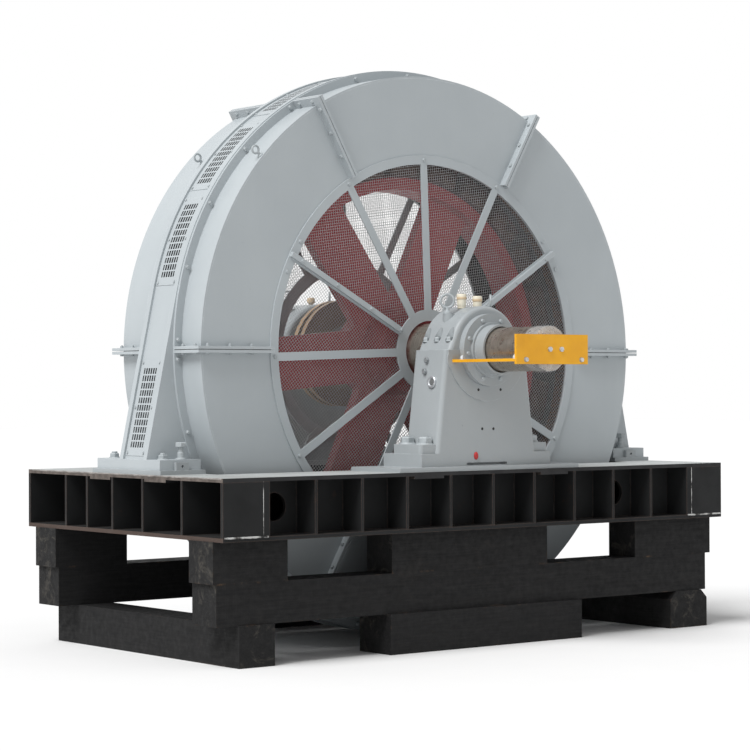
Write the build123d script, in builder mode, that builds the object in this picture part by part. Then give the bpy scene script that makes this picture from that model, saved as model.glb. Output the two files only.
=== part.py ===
"""Large synchronous motor on its steel base, resting on transport timbers.

X runs across the machine, Y along the shaft with the drive end at -Y, Z up.
Z = 0 is the ground under the lowest timbers.  All sizes are millimetres.
"""
from build123d import *
from math import cos, sin, tan, radians, sqrt
import os

os.makedirs("parts", exist_ok=True)

# the few sizes that the rest follows
TIMBER = 207           # thickness of the timbers, which lie in three layers
BASE_H = 308
BASE_MID = 33          # base and timbers lie this far behind the machine's centre
AXIS_H = 630           # shaft line over the base
FRAME_R = 1537
FRAME_L = 254          # frame and core, along the shaft
FRAME_MID = -48        # their middle plane, and the rotor's, ahead of the centre
COVER_FACE = 363       # flat faces of both end covers, from the centre
PED_FACE = 842         # outer faces of both pedestals, from the centre
SHAFT_R = 115

BASE_Z = 3 * TIMBER
BASE_TOP = BASE_Z + BASE_H
AXIS_Z = BASE_TOP + AXIS_H
FRAME_FRONT = FRAME_MID - FRAME_L / 2
FRAME_REAR = FRAME_MID + FRAME_L / 2

# clearances of what turns
RUN_GAP = 6
AIR_GAP = 14
BEARING_GAP = 0.08

# stator frame and its legs
END_PLATE_T = 32
RIM_PROUD = 12         # end plates stand this far outside the skin
SKIN_T = 8
LEG_LEAN = 12.2        # degrees from upright
LEG_LAP = 40           # how far a leg reaches in past the round frame
SOLE_T = 22
FOOT_T = 53
FOOT_W = 246
FOOT_L = 590
FOOT_MID = -2
LUG_W = 76
LUG_T = 20
LUG_H = 40
LUG_GAP = 2            # between a foot and the lugs that stop it
LUG_HOLE_R = 7
LEG_DROP = AXIS_H - SOLE_T - FOOT_T
LEG_L = (FRAME_R * sin(radians(LEG_LEAN)) + LEG_DROP) / cos(radians(LEG_LEAN))
SKIN_R = FRAME_R - RIM_PROUD


def leg_reach(r):
    """Half width over both legs where they meet the foot blocks."""
    lean = radians(LEG_LEAN)
    return r * cos(lean) + (r * sin(lean) + LEG_DROP) * tan(lean)


FOOT_OUT = leg_reach(FRAME_R)
FOOT_IN = FOOT_OUT - FOOT_W

# louvred plates over the openings in the skin
VENT_ARC = 9.35        # half the angle that a rolled plate covers
VENT_ANGLES = (22, 42.5, 64.5)
VENT_L = 2 * SKIN_R * radians(VENT_ARC)
VENT_W = 180
VENT_T = 3
VENT_GAP = 20          # from a leg's plate down to the foot
SLOT_ROWS = 11
SLOT_PITCH = VENT_L / (SLOT_ROWS + 2)
SLOT_H = 0.8 * SLOT_PITCH
SLOT_W = 118
LEG_VENT_DOWN = LEG_L - VENT_L / 2 - VENT_GAP

# stator core and windings
CORE_IN = 255          # core's outside, in from the frame's
CORE_T = 184
CORE_OUT = FRAME_R - CORE_IN
BORE_R = CORE_OUT - CORE_T
COIL_REACH = 95        # the end windings stand this far out of the core
COIL_LOW = 12          # the end windings lie between these heights over the bore
COIL_HIGH = 110

# end covers with their bolted joints
COVER_IN = 50          # round wall, in from the frame's outside
COVER_R = FRAME_R - COVER_IN
COVER_T = 10
FLANGE_W = 45
FLANGE_R = COVER_R + FLANGE_W
FLANGE_T = 14
SEGMENTS = 6
JOINT_H = 44           # how far the joints stand out of a cover
JOINT_PLATE_T = 15
JOINT_SEAM = 4

# wire guards
RING_LOW = 37          # guard ring's outside, under the core's bore
RING_W = 49
RING_OUT = BORE_R - RING_LOW
RING_IN = RING_OUT - RING_W
GUARD_T = 8
STRAP_W = 44
STRAPS = 12
GUARD_TURN = 2         # guards are bolted on slightly turned from the cover joints
GUARD_SPLITS = (30 + GUARD_TURN, 150 + GUARD_TURN)
SPLIT_W = 28
SPLIT_T = 30
SCREEN_T = 4

# base
BASE_LIP = 27          # base beyond the feet
BASE_FRONT = 82        # mean reach of the base beyond the pedestals
PLATE_T = 20
WEB_T = 20
RIB_T = 16
RIBS = 11
RIB_END = 269          # outermost ribs, in from the ends
WEB_IN = 165           # long webs, in from the edges
PIT_GAP = 29
PIT_SIDE_GAP = 20
HOLE_R = 70
BASE_L = 2 * (FOOT_OUT + BASE_LIP)
BASE_W = 2 * (PED_FACE + BASE_FRONT)
PIT_L = 2 * (sqrt(FRAME_R ** 2 - AXIS_H ** 2) + PIT_GAP)
PIT_W = 2 * (COVER_FACE + JOINT_H + PIT_SIDE_GAP)
RIB_PITCH = (BASE_L - 2 * RIB_END) / (RIBS - 1)
WEB_Y = BASE_W / 2 - WEB_IN
END_RIBS = (0.706, 0.426, 0.099, -0.276, -0.745)   # as parts of WEB_Y
PAD_T = 14             # doubling pads under the top plate
PAD_W = 195
PAD_D = 120
PAD_GAP = 12           # from a rib to the pad beside it
HALF_L = BASE_L / 2
HALF_W = BASE_W / 2

# timbers
TIMBER_IN = 185        # centre line of the long timbers, in from the base's edge
MID_Y = HALF_W - TIMBER_IN
CHAMFER = 45           # worn top corners of the right-hand bottom timber
END_OVER = 4           # end blocks stand out on the left
END_BLOCK = 446
RIGHT_BLOCK = 597
RIGHT_BLOCK_IN = 9
MIDDLE_BLOCK = (-618, 453)
MIDDLE_BOTTOM = (-648, 682)
MIDDLE_BOTTOM_W = 260
LONG_LEFT_IN = 15
LONG_IN = 48
LEFT_BOTTOM_IN = 142
LEFT_BOTTOM_W = 213
RIGHT_BOTTOM_W = 291
BOTTOM_SHORT = 70      # cross timbers stop short of the base's edges
LEFT_BLOCK_X = -HALF_L - END_OVER
RIGHT_BLOCK_X = HALF_L - RIGHT_BLOCK_IN
BLOCKS = ((LEFT_BLOCK_X, LEFT_BLOCK_X + END_BLOCK), MIDDLE_BLOCK,
          (RIGHT_BLOCK_X - RIGHT_BLOCK, RIGHT_BLOCK_X))

# pedestal bearings
SOLE_L = 1240          # pedestals' sole plates
SOLE_W = 406
SOLE_IN = 164
PED_DEPTH = 262
PED_FOOT_DEPTH = 313
PED_FOOT_X = 447
PED_FOOT_T = 68
PED_PAD_W = 150
PED_PAD_T = 48
PED_LOW_X = 345        # half width above the foot
PED_TOP_X = 278        # half width at the split line
FLARE = 50
EDGE_R = 24
BOSS_R = 269
BOSS_T = 6
CAP_R_FRONT = 232
CAP_R_REAR = 285
CAP_LEAN = 25
POCKET_R = 26
POCKET_PITCH = 94
POCKET_FLOOR = 45
EYE_X = 150
EYE_BOSS_R = 32
SEAL_R = 190
SEAL_STEPS = ((SEAL_R, 38), (144, 55), (132, 122))
REAR_CAP_T = 70

# rotor
SHAFT_OUT = 489        # shaft end beyond the front pedestal
SHAFT_BACK = 50
SHAFT_STEP = 35
BODY_GAP = 18          # thick part of the shaft stops short of the pedestals
HUB_T = 85
SHAFT_FRONT = -PED_FACE - SHAFT_OUT
SHAFT_REAR = PED_FACE + SHAFT_BACK
BODY_R = SHAFT_R + SHAFT_STEP
BODY_END = PED_FACE - PED_DEPTH - BODY_GAP
HUB_R = BODY_R + HUB_T
HUB_L = 420
ARM_W = 286
WEB_THICK = 60
WINDOW_TURN = 95       # the first window's direction, in degrees from +X
WINDOW_R = 38
WINDOWS = 6
POLE_H = 127
RIM_T = 67
POLE_OUT = BORE_R - AIR_GAP
RIM_OUT = POLE_OUT - POLE_H
RIM_IN = RIM_OUT - RIM_T
RIM_L = 200
POLES = 24
POLE_W = 170
POLE_GAP = 90
SHOE_T = 30
SEAT_T = 14
HUB_RING_GAP = 15
HUB_RING_IN = BODY_R + HUB_RING_GAP
HUB_RING_W = 61
SLIP_R = 300
SLIP_W = 32
SLIP_STEP = 20
SLIP_NEXT = 60
SLIP_GAP = 29
REAR_RING_GAP = 155
SLIP_Y = COVER_FACE + SLIP_GAP
REAR_RING_IN = SLIP_R + REAR_RING_GAP
REAR_RING_W = 70

# transport bracket
BRACKET_L = 492
BRACKET_H = 152
BRACKET_LOW = 4        # plate's middle, under the shaft line
BRACKET_T = 15
TIE_X = 218
TIE_W = 50
TIE_DOWN = 51          # tie bars under the shaft line
TIE_PAD_R = 58
BOLT_HEAD = 10         # heads of the plate's bolts, which are the machine's front
MID_FLATS = 24
MID_X = (-21, 58)
CORNER_FLATS = 20
CORNER_X = (-182, 200)
CORNER_DOWN = 57

# the origin is under the middle of the whole outline
CENTRE_X = -(BLOCKS[0][0] + HALF_L) / 2
CENTRE_Y = -(SHAFT_FRONT - RUN_GAP - BRACKET_T - BOLT_HEAD + BASE_MID + HALF_W) / 2

SHAFT_LINE = Axis((0, 0, AXIS_Z), (0, 1, 0))


def across(y_back):
    """Upright plane across the shaft line; what is extruded comes forward."""
    return Plane(origin=(0, y_back, AXIS_Z), x_dir=(1, 0, 0), z_dir=(0, -1, 0))


def level(z):
    return Plane.XY.offset(z)


def through_axis():
    """Plane through the shaft line: X is the radius, Y runs along the shaft."""
    return Plane(origin=(0, 0, AXIS_Z), x_dir=(1, 0, 0), z_dir=(0, 0, 1))


def turned(angle):
    """Place on the shaft line, turned so that its X points outwards at an angle."""
    return Pos(0, 0, AXIS_Z) * Rot(0, -angle, 0)


def save(part, name):
    """Put a finished piece in the shared frame and write it out."""
    placed = part.moved(Location((CENTRE_X, CENTRE_Y, 0)))
    placed.label = name
    export_step(placed, "parts/" + name + ".step")


# timbers under the base


def timber_row(name, spans, mid_y, width, layer):
    """Timbers in one line along the base, each from one X to another."""
    with BuildPart() as row:
        with BuildSketch(level(layer * TIMBER)):
            for x0, x1 in spans:
                with Locations(((x0 + x1) / 2, BASE_MID + mid_y)):
                    Rectangle(x1 - x0, width)
        extrude(amount=TIMBER)
    save(row.part, name)


LONG_SPAN = (-HALF_L + LONG_LEFT_IN, HALF_L - LONG_IN)
LEFT_SPAN = (-HALF_L + LEFT_BOTTOM_IN, -HALF_L + LEFT_BOTTOM_IN + LEFT_BOTTOM_W)
timber_row("timber_bottom_left", [LEFT_SPAN], 0, BASE_W - 2 * BOTTOM_SHORT, 0)
timber_row("timber_bottom_middle_front", [MIDDLE_BOTTOM], -MID_Y, MIDDLE_BOTTOM_W, 0)
timber_row("timber_bottom_middle_rear", [MIDDLE_BOTTOM], MID_Y, MIDDLE_BOTTOM_W, 0)
timber_row("timber_long_front", [LONG_SPAN], -MID_Y, TIMBER, 1)
timber_row("timber_long_rear", [LONG_SPAN], MID_Y, TIMBER, 1)
timber_row("timber_blocks_front", BLOCKS, -MID_Y, TIMBER, 2)
timber_row("timber_blocks_rear", BLOCKS, MID_Y, TIMBER, 2)

with BuildPart() as worn_timber:
    with BuildSketch(level(0)):
        with Locations((HALF_L - LONG_IN - RIGHT_BOTTOM_W / 2, BASE_MID)):
            Rectangle(RIGHT_BOTTOM_W, BASE_W - 2 * BOTTOM_SHORT)
    extrude(amount=TIMBER)
    top_edges = worn_timber.edges().filter_by(Axis.Y).group_by(Axis.Z)[-1]
    chamfer(top_edges, length=CHAMFER)
save(worn_timber.part, "timber_bottom_right")

# base: two flat plates with the pit cut through them

web_h = BASE_H - 2 * PLATE_T
web_z = BASE_Z + PLATE_T
wall_x = PIT_L / 2 + WEB_T / 2
base_front = BASE_MID - HALF_W
base_back = BASE_MID + HALF_W


def pit_plate():
    with Locations((0, BASE_MID)):
        Rectangle(BASE_L, BASE_W)
    Rectangle(PIT_L, PIT_W, mode=Mode.SUBTRACT)


with BuildPart() as base_bottom_plate:
    with BuildSketch(level(BASE_Z)):
        pit_plate()
    extrude(amount=PLATE_T)
save(base_bottom_plate.part, "base_bottom_plate")

with BuildPart() as base_top_plate:
    with BuildSketch(level(BASE_TOP - PLATE_T)):
        pit_plate()
    extrude(amount=PLATE_T)
    with BuildSketch(level(BASE_TOP - PLATE_T - PAD_T)):
        for pad_x in (-1.5 * RIB_PITCH, 1.5 * RIB_PITCH):
            with Locations((pad_x, base_back - PAD_D / 2), (pad_x, base_front + PAD_D / 2)):
                Rectangle(PAD_W, PAD_D)
        pad_step = RIB_T / 2 + PAD_GAP + PAD_W / 2
        for pad_y in (BASE_MID + END_RIBS[2] * WEB_Y + pad_step, BASE_MID + END_RIBS[3] * WEB_Y - pad_step):
            with Locations((HALF_L - PAD_D / 2, pad_y), (PAD_D / 2 - HALF_L, pad_y)):
                Rectangle(PAD_D, PAD_W)
    extrude(amount=PAD_T)
save(base_top_plate.part, "base_top_plate")

# webs between the plates: two long ones, two along the pit, two across its ends

with BuildPart() as base_long_webs:
    with BuildSketch(level(web_z)):
        with Locations((0, BASE_MID + WEB_Y), (0, BASE_MID - WEB_Y)):
            Rectangle(2 * wall_x + WEB_T, WEB_T)
        with Locations((0, PIT_W / 2 + WEB_T / 2), (0, -PIT_W / 2 - WEB_T / 2)):
            Rectangle(PIT_L, WEB_T)
    extrude(amount=web_h)
    for side in (-1, 1):
        behind = BASE_MID + side * WEB_Y - WEB_T
        middle = Plane(origin=(0, behind, web_z + web_h / 2), x_dir=(1, 0, 0), z_dir=(0, 1, 0))
        with BuildSketch(middle):
            with Locations((-4.5 * RIB_PITCH, 0), (3.5 * RIB_PITCH, 0)):
                Circle(HOLE_R)
        extrude(amount=2 * WEB_T, mode=Mode.SUBTRACT)
save(base_long_webs.part, "base_long_webs")

with BuildPart() as base_end_walls:
    with BuildSketch(level(web_z)):
        with Locations((wall_x, BASE_MID), (-wall_x, BASE_MID)):
            Rectangle(WEB_T, 2 * WEB_Y - WEB_T)
    extrude(amount=web_h)
save(base_end_walls.part, "base_end_walls")


def side_ribs(name, side):
    """Ribs out to the plate edges, and a flush panel that closes each corner."""
    web_face = WEB_Y + WEB_T / 2
    rib_d = HALF_W - web_face
    reach = HALF_L - RIB_END
    with BuildPart() as ribs:
        with BuildSketch(level(web_z)):
            with Locations((0, BASE_MID + side * (web_face + rib_d / 2))):
                with GridLocations(RIB_PITCH, 1, RIBS, 1):
                    Rectangle(RIB_T, rib_d)
            for end in (-1, 1):
                with Locations((end * (reach + RIB_END / 2), BASE_MID + side * (HALF_W - WEB_T / 2))):
                    Rectangle(RIB_END, WEB_T)
        extrude(amount=web_h)
    save(ribs.part, name)


side_ribs("base_ribs_front", -1)
side_ribs("base_ribs_rear", 1)

with BuildPart() as base_ribs_ends:
    end_d = HALF_L - wall_x - WEB_T / 2
    with BuildSketch(level(web_z)):
        for side in (-1, 1):
            with Locations([(side * (HALF_L - end_d / 2), BASE_MID + part * WEB_Y) for part in END_RIBS]):
                Rectangle(end_d, RIB_T)
    extrude(amount=web_h)
save(base_ribs_ends.part, "base_ribs_ends")

# machined sole plates on the base, with stop lugs at the stator's feet

with BuildPart() as sole_plates:
    foot_x = (FOOT_OUT + FOOT_IN) / 2
    with BuildSketch(level(BASE_TOP)):
        with Locations((0, PED_FACE - SOLE_IN), (0, SOLE_IN - PED_FACE)):
            Rectangle(SOLE_L, SOLE_W)
        with Locations((foot_x, FOOT_MID), (-foot_x, FOOT_MID)):
            Rectangle(FOOT_W + BASE_LIP, FOOT_L + 2 * BASE_LIP)
    extrude(amount=SOLE_T)
    with BuildSketch(level(BASE_TOP + SOLE_T)):
        with Locations((foot_x, FOOT_MID), (-foot_x, FOOT_MID)):
            with GridLocations(1, FOOT_L + LUG_T + 2 * LUG_GAP, 1, 2):
                Rectangle(LUG_W, LUG_T)
    extrude(amount=LUG_H)
    hole_level = Plane(origin=(0, 0, BASE_TOP + SOLE_T + LUG_H / 2), x_dir=(1, 0, 0), z_dir=(0, -1, 0))
    with BuildSketch(hole_level):
        with Locations((foot_x, 0), (-foot_x, 0)):
            Circle(LUG_HOLE_R)
    extrude(amount=FOOT_L, both=True, mode=Mode.SUBTRACT)
save(sole_plates.part, "sole_plates")

# stator frame: two end plates with legs, a skin between them, foot blocks


def leg_outline(inset):
    """Corner points of the left leg, its outer edge tangent to the frame."""
    r = FRAME_R - inset
    lean = radians(LEG_LEAN)
    tx = r * cos(lean)
    tz = r * sin(lean)
    inner_x = sqrt(FRAME_R ** 2 - LEG_DROP ** 2) - LEG_LAP
    return [(-tx, tz), (-leg_reach(r), -LEG_DROP), (-inner_x, -LEG_DROP), (-0.8 * tx, 0)]


def frame_shape(inset):
    Circle(FRAME_R - inset)
    Polygon(*leg_outline(inset), align=None)
    Polygon(*[(-x, z) for x, z in leg_outline(inset)], align=None)


for name, back in (("frame_front_plate", FRAME_FRONT + END_PLATE_T), ("frame_rear_plate", FRAME_REAR)):
    with BuildPart() as plate:
        with BuildSketch(across(back)):
            frame_shape(0)
            Circle(CORE_OUT, mode=Mode.SUBTRACT)
        extrude(amount=END_PLATE_T)
    save(plate.part, name)

skin_back = FRAME_REAR - END_PLATE_T
skin_w = FRAME_L - 2 * END_PLATE_T
curved_places = [turned(a) for v in VENT_ANGLES for a in (v, 180 - v)]
flat_places = [turned(LEG_LEAN) * Pos(0, 0, -LEG_VENT_DOWN),
               turned(180 - LEG_LEAN) * Pos(0, 0, LEG_VENT_DOWN)]

with BuildPart() as frame_skin:
    with BuildSketch(across(skin_back)):
        frame_shape(RIM_PROUD)
    extrude(amount=skin_w)
    with BuildSketch(across(skin_back)):
        frame_shape(RIM_PROUD + SKIN_T)
    extrude(amount=skin_w, mode=Mode.SUBTRACT)
    for place in curved_places + flat_places:
        with Locations(place * Pos(SKIN_R, FRAME_MID, 0)):
            Box(100, SLOT_W + 8, SLOT_ROWS * SLOT_PITCH, mode=Mode.SUBTRACT)
save(frame_skin.part, "frame_skin")

# vent plates: one rolled and one flat pattern, each with its rows of openings

row_turn = SLOT_PITCH / radians(1) / SKIN_R
rows = range(-(SLOT_ROWS // 2), SLOT_ROWS // 2 + 1)

with BuildPart() as rolled_vent:
    with BuildSketch(Plane(origin=(0, FRAME_MID + VENT_W / 2, 0), x_dir=(1, 0, 0), z_dir=(0, -1, 0))):
        with BuildLine():
            inner = CenterArc((0, 0), SKIN_R, -VENT_ARC, 2 * VENT_ARC)
            outer = CenterArc((0, 0), SKIN_R + VENT_T, -VENT_ARC, 2 * VENT_ARC)
            Line(inner @ 0, outer @ 0)
            Line(inner @ 1, outer @ 1)
        make_face()
    extrude(amount=VENT_W)
    for i in rows:
        with Locations(Rot(0, i * row_turn, 0) * Pos(SKIN_R, FRAME_MID, 0)):
            Box(4 * VENT_T, SLOT_W, SLOT_H, mode=Mode.SUBTRACT)

with BuildPart() as flat_vent:
    with Locations((SKIN_R + VENT_T / 2, FRAME_MID, 0)):
        Box(VENT_T, VENT_W, VENT_L)
    with Locations([(SKIN_R, FRAME_MID, i * SLOT_PITCH) for i in rows]):
        Box(4 * VENT_T, SLOT_W, SLOT_H, mode=Mode.SUBTRACT)

with BuildPart() as frame_vents:
    for place in curved_places:
        add(rolled_vent.part.moved(place))
    for place in flat_places:
        add(flat_vent.part.moved(place))
save(frame_vents.part, "frame_vents")

with BuildPart() as feet:
    with BuildSketch(level(BASE_TOP + SOLE_T)):
        with Locations((foot_x, FOOT_MID), (-foot_x, FOOT_MID)):
            Rectangle(FOOT_W, FOOT_L)
    extrude(amount=FOOT_T)
save(feet.part, "feet")

with BuildPart() as stator_core:
    with BuildSketch(across(FRAME_REAR)):
        Circle(CORE_OUT)
        Circle(BORE_R, mode=Mode.SUBTRACT)
    extrude(amount=FRAME_L)
save(stator_core.part, "stator_core")

with BuildPart() as windings:
    for back in (FRAME_FRONT, FRAME_REAR + COIL_REACH):
        with BuildSketch(across(back)):
            Circle(BORE_R + COIL_HIGH)
            Circle(BORE_R + COIL_LOW, mode=Mode.SUBTRACT)
        extrude(amount=COIL_REACH)
save(windings.part, "windings")

# end covers: a round wall with its bolting flange, a flat face, and six bolted joints


def end_cover(end, face, foot, way):
    """way is -1 at the drive end and +1 at the rear."""
    flange = foot + way * FLANGE_T
    inside = COVER_R - COVER_T
    with BuildPart() as wall:
        with BuildSketch(through_axis()):
            with BuildLine():
                Polyline((inside, foot), (FLANGE_R, foot), (FLANGE_R, flange), (COVER_R, flange),
                         (COVER_R, face), (inside, face), close=True)
            make_face()
        revolve(axis=SHAFT_LINE)
    save(wall.part, end + "_cover_wall")

    with BuildPart() as disc:
        with BuildSketch(across(max(face, face - way * COVER_T))):
            Circle(inside)
            Circle(RING_IN, mode=Mode.SUBTRACT)
        extrude(amount=COVER_T)
    save(disc.part, end + "_cover_face")

    # one joint plate, folded over the edge of the cover
    top = COVER_R + JOINT_H
    front = face + way * JOINT_H
    with BuildPart() as plate:
        with BuildSketch(through_axis()):
            with BuildLine():
                Polyline((RING_OUT, face), (RING_OUT, front), (top, front), (top, flange),
                         (COVER_R, flange), (COVER_R, face), close=True)
            make_face()
        extrude(amount=JOINT_PLATE_T)
    with BuildPart() as joints:
        for i in range(SEGMENTS):
            turn = Pos(0, 0, AXIS_Z) * Rot(0, i * 360 / SEGMENTS, 0) * Pos(0, 0, -AXIS_Z)
            add(plate.part.moved(turn * Pos(0, 0, JOINT_SEAM / 2)))
            add(plate.part.moved(turn * Pos(0, 0, -JOINT_SEAM / 2 - JOINT_PLATE_T)))
    save(joints.part, end + "_cover_joints")


end_cover("front", -COVER_FACE, FRAME_FRONT, -1)
end_cover("rear", COVER_FACE, FRAME_REAR, 1)

# wire guards: ring, straps, hub ring and the bars of the split, with the screen behind


def guard(name, side, hub_in, ring_w):
    """side is -1 at the drive end and +1 at the rear."""
    seat = side * COVER_FACE
    strap_l = RING_IN - hub_in - 20
    with BuildPart() as frame:
        with BuildSketch(across(max(seat, seat + side * GUARD_T))):
            Circle(RING_OUT)
            Circle(RING_IN, mode=Mode.SUBTRACT)
            with PolarLocations((RING_IN + hub_in) / 2 + 10, STRAPS, start_angle=GUARD_TURN):
                Rectangle(strap_l + 20, STRAP_W)
            Circle(hub_in + ring_w)
            Circle(hub_in, mode=Mode.SUBTRACT)
        extrude(amount=GUARD_T)
        bar_from = hub_in + ring_w
        with BuildSketch(across(max(seat, seat + side * SPLIT_T))):
            for angle in GUARD_SPLITS:
                with Locations(Rot(0, 0, angle) * Pos((RING_OUT + bar_from) / 2, 0)):
                    Rectangle(RING_OUT - bar_from - 6, SPLIT_W)
        extrude(amount=SPLIT_T)
    save(frame.part, name)


guard("guard_front", -1, HUB_RING_IN, HUB_RING_W)
guard("guard_rear", 1, REAR_RING_IN, REAR_RING_W)


def screen(name, back, hub_in):
    with BuildPart() as sheet:
        with BuildSketch(across(back)):
            Circle(RING_IN)
            Circle(hub_in, mode=Mode.SUBTRACT)
        extrude(amount=SCREEN_T)
    save(sheet.part, name)


screen("guard_screen_front", -COVER_FACE + SCREEN_T, HUB_RING_IN)
screen("guard_screen_rear", COVER_FACE, REAR_RING_IN)

# pedestal bearings, split at shaft height


def pedestal(name, side):
    """Lower half with its foot; side is -1 at the drive end and +1 at the rear."""
    foot_mid = side * (PED_FACE - PED_FOOT_DEPTH / 2)
    body_mid = side * (PED_FACE - PED_DEPTH / 2)
    foot_z = BASE_TOP + SOLE_T
    drop = AXIS_Z - foot_z
    foot_top = PED_FOOT_T - drop
    arc_mid = FLARE * (1 - cos(radians(45)))
    with BuildPart() as ped:
        with BuildSketch(across(body_mid + PED_DEPTH / 2)):
            with BuildLine():
                Polyline((-PED_TOP_X, 0), (PED_TOP_X, 0), (PED_LOW_X, foot_top), (PED_LOW_X, -drop),
                         (-PED_LOW_X, -drop), (-PED_LOW_X, foot_top), close=True)
            make_face()
        extrude(amount=PED_DEPTH)
        flanks = ped.edges().filter_by(lambda e: abs(e.center().X) > PED_TOP_X + 5
                                       and e.center().Z > foot_z + 150
                                       and e.length > 400)
        fillet(flanks, radius=EDGE_R)
        # the flanks flare out to the foot between the rounded edges
        with BuildSketch(across(body_mid + PED_DEPTH / 2 - EDGE_R)):
            for way in (-1, 1):
                inner = way * (PED_LOW_X - 20)
                start = way * (PED_LOW_X - 3)
                with BuildLine():
                    ThreePointArc((start, foot_top + FLARE),
                                  (start + way * arc_mid, foot_top + arc_mid),
                                  (start + way * FLARE, foot_top))
                    Polyline((start + way * FLARE, foot_top), (start + way * FLARE, foot_top - 10),
                             (inner, foot_top - 10), (inner, foot_top + FLARE),
                             (start, foot_top + FLARE))
                make_face()
        extrude(amount=PED_DEPTH - 2 * EDGE_R)
        with BuildSketch(level(foot_z)):
            with Locations((0, foot_mid)):
                Rectangle(2 * PED_FOOT_X, PED_FOOT_DEPTH)
        extrude(amount=PED_FOOT_T)
        with BuildSketch(level(foot_z + PED_FOOT_T)):
            with Locations((PED_FOOT_X - 80, body_mid), (80 - PED_FOOT_X, body_mid)):
                RectangleRounded(PED_PAD_W, PED_DEPTH - 30, 20)
        extrude(amount=PED_PAD_T)
        # raised boss round the seal, with a round pad at each tie bar
        with BuildSketch(across(-PED_FACE if side < 0 else PED_FACE + BOSS_T)):
            Circle(BOSS_R)
            with Locations((TIE_X, -TIE_DOWN), (-TIE_X, -TIE_DOWN)):
                Circle(TIE_PAD_R)
            Circle(SEAL_R + 1, mode=Mode.SUBTRACT)
            with Locations((0, BOSS_R)):
                Rectangle(4 * BOSS_R, 2 * BOSS_R, mode=Mode.SUBTRACT)
        extrude(amount=BOSS_T)
        with BuildSketch(across(PED_FACE + 10 if side > 0 else 0)):
            Circle(SHAFT_R + BEARING_GAP)
        extrude(amount=PED_FACE + 10, mode=Mode.SUBTRACT)
        # shallow recess in the foot, under the drain plug
        with Locations((0, side * PED_FACE, foot_z + 12)):
            Box(280, 60, 13, mode=Mode.SUBTRACT)
    save(ped.part, name)


def bearing_cap(name, side, cap_r):
    """Arched cap: flanks tangent to the crown, bolt pockets, two eye-bolt bosses."""
    body_mid = side * (PED_FACE - PED_DEPTH / 2)
    lean = radians(CAP_LEAN)
    tx = cap_r * cos(lean)
    tz = cap_r * sin(lean)
    foot_x = min(cap_r / cos(lean), PED_TOP_X)
    with BuildPart() as cap:
        with BuildSketch(across(body_mid + PED_DEPTH / 2)):
            with BuildLine():
                Polyline((-tx, tz), (-foot_x, 0), (foot_x, 0), (tx, tz))
                ThreePointArc((tx, tz), (0, cap_r), (-tx, tz))
            make_face()
        extrude(amount=PED_DEPTH)
        rounded = cap.edges().filter_by(lambda e: e.center().Z > AXIS_Z + 5
                                        and abs(abs(e.center().Y - body_mid) - PED_DEPTH / 2) < 1)
        fillet(rounded, radius=EDGE_R)
        boss_h = sqrt(cap_r ** 2 - EYE_X ** 2) + 16
        with BuildSketch(level(AXIS_Z + POCKET_FLOOR)):
            with Locations((EYE_X, body_mid), (-EYE_X, body_mid)):
                Circle(EYE_BOSS_R)
        extrude(amount=boss_h - POCKET_FLOOR)
        with BuildSketch(level(AXIS_Z + POCKET_FLOOR)):
            with Locations((0, body_mid)):
                with GridLocations(2 * (cap_r - 7), POCKET_PITCH, 2, 3):
                    Circle(POCKET_R)
        extrude(amount=cap_r, mode=Mode.SUBTRACT)
        with BuildSketch(across(body_mid + PED_DEPTH / 2 + 5)):
            Circle(SHAFT_R + BEARING_GAP)
        extrude(amount=PED_DEPTH + 10, mode=Mode.SUBTRACT)
    save(cap.part, name)


pedestal("pedestal_front", -1)
pedestal("pedestal_rear", 1)
bearing_cap("bearing_cap_front", -1, CAP_R_FRONT)
bearing_cap("bearing_cap_rear", 1, CAP_R_REAR)

# stepped shaft seal at the drive end, closed cover at the rear

with BuildPart() as shaft_seal_front:
    for radius, reach in SEAL_STEPS:
        with BuildSketch(across(-PED_FACE)):
            Circle(radius)
            Circle(SHAFT_R + RUN_GAP, mode=Mode.SUBTRACT)
        extrude(amount=reach)
save(shaft_seal_front.part, "shaft_seal_front")

with BuildPart() as bearing_cover_rear:
    with BuildSketch(across(PED_FACE + REAR_CAP_T)):
        Circle(SEAL_R)
    extrude(amount=REAR_CAP_T)
    with BuildSketch(across(SHAFT_REAR + RUN_GAP)):
        Circle(SHAFT_R + RUN_GAP)
    extrude(amount=SHAFT_REAR + RUN_GAP - PED_FACE, mode=Mode.SUBTRACT)
save(bearing_cover_rear.part, "bearing_cover_rear")

# transport bracket: cross plate in front of the shaft end, tied back to the pedestal

with BuildPart() as transport_bracket:
    with BuildSketch(across(SHAFT_FRONT - RUN_GAP)):
        with Locations((0, -BRACKET_LOW)):
            Rectangle(BRACKET_L, BRACKET_H)
    extrude(amount=BRACKET_T)
    with BuildSketch(across(SHAFT_FRONT - RUN_GAP - BRACKET_T)):
        with Locations([(x, -BRACKET_LOW) for x in MID_X]):
            RegularPolygon(MID_FLATS / 2, 6, major_radius=False)
        with Locations([(x, -CORNER_DOWN) for x in CORNER_X]):
            RegularPolygon(CORNER_FLATS / 2, 6, major_radius=False)
    extrude(amount=BOLT_HEAD)
    tie_from = -PED_FACE - BOSS_T
    tie_l = tie_from - SHAFT_FRONT + RUN_GAP
    with BuildSketch(level(AXIS_Z - TIE_DOWN - BRACKET_T)):
        with Locations((-TIE_X, tie_from - tie_l / 2), (TIE_X, tie_from - tie_l / 2)):
            Rectangle(TIE_W, tie_l)
    extrude(amount=BRACKET_T)
save(transport_bracket.part, "transport_bracket")

# rotor: shaft, spider with six arms, rim, poles, slip rings

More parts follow.
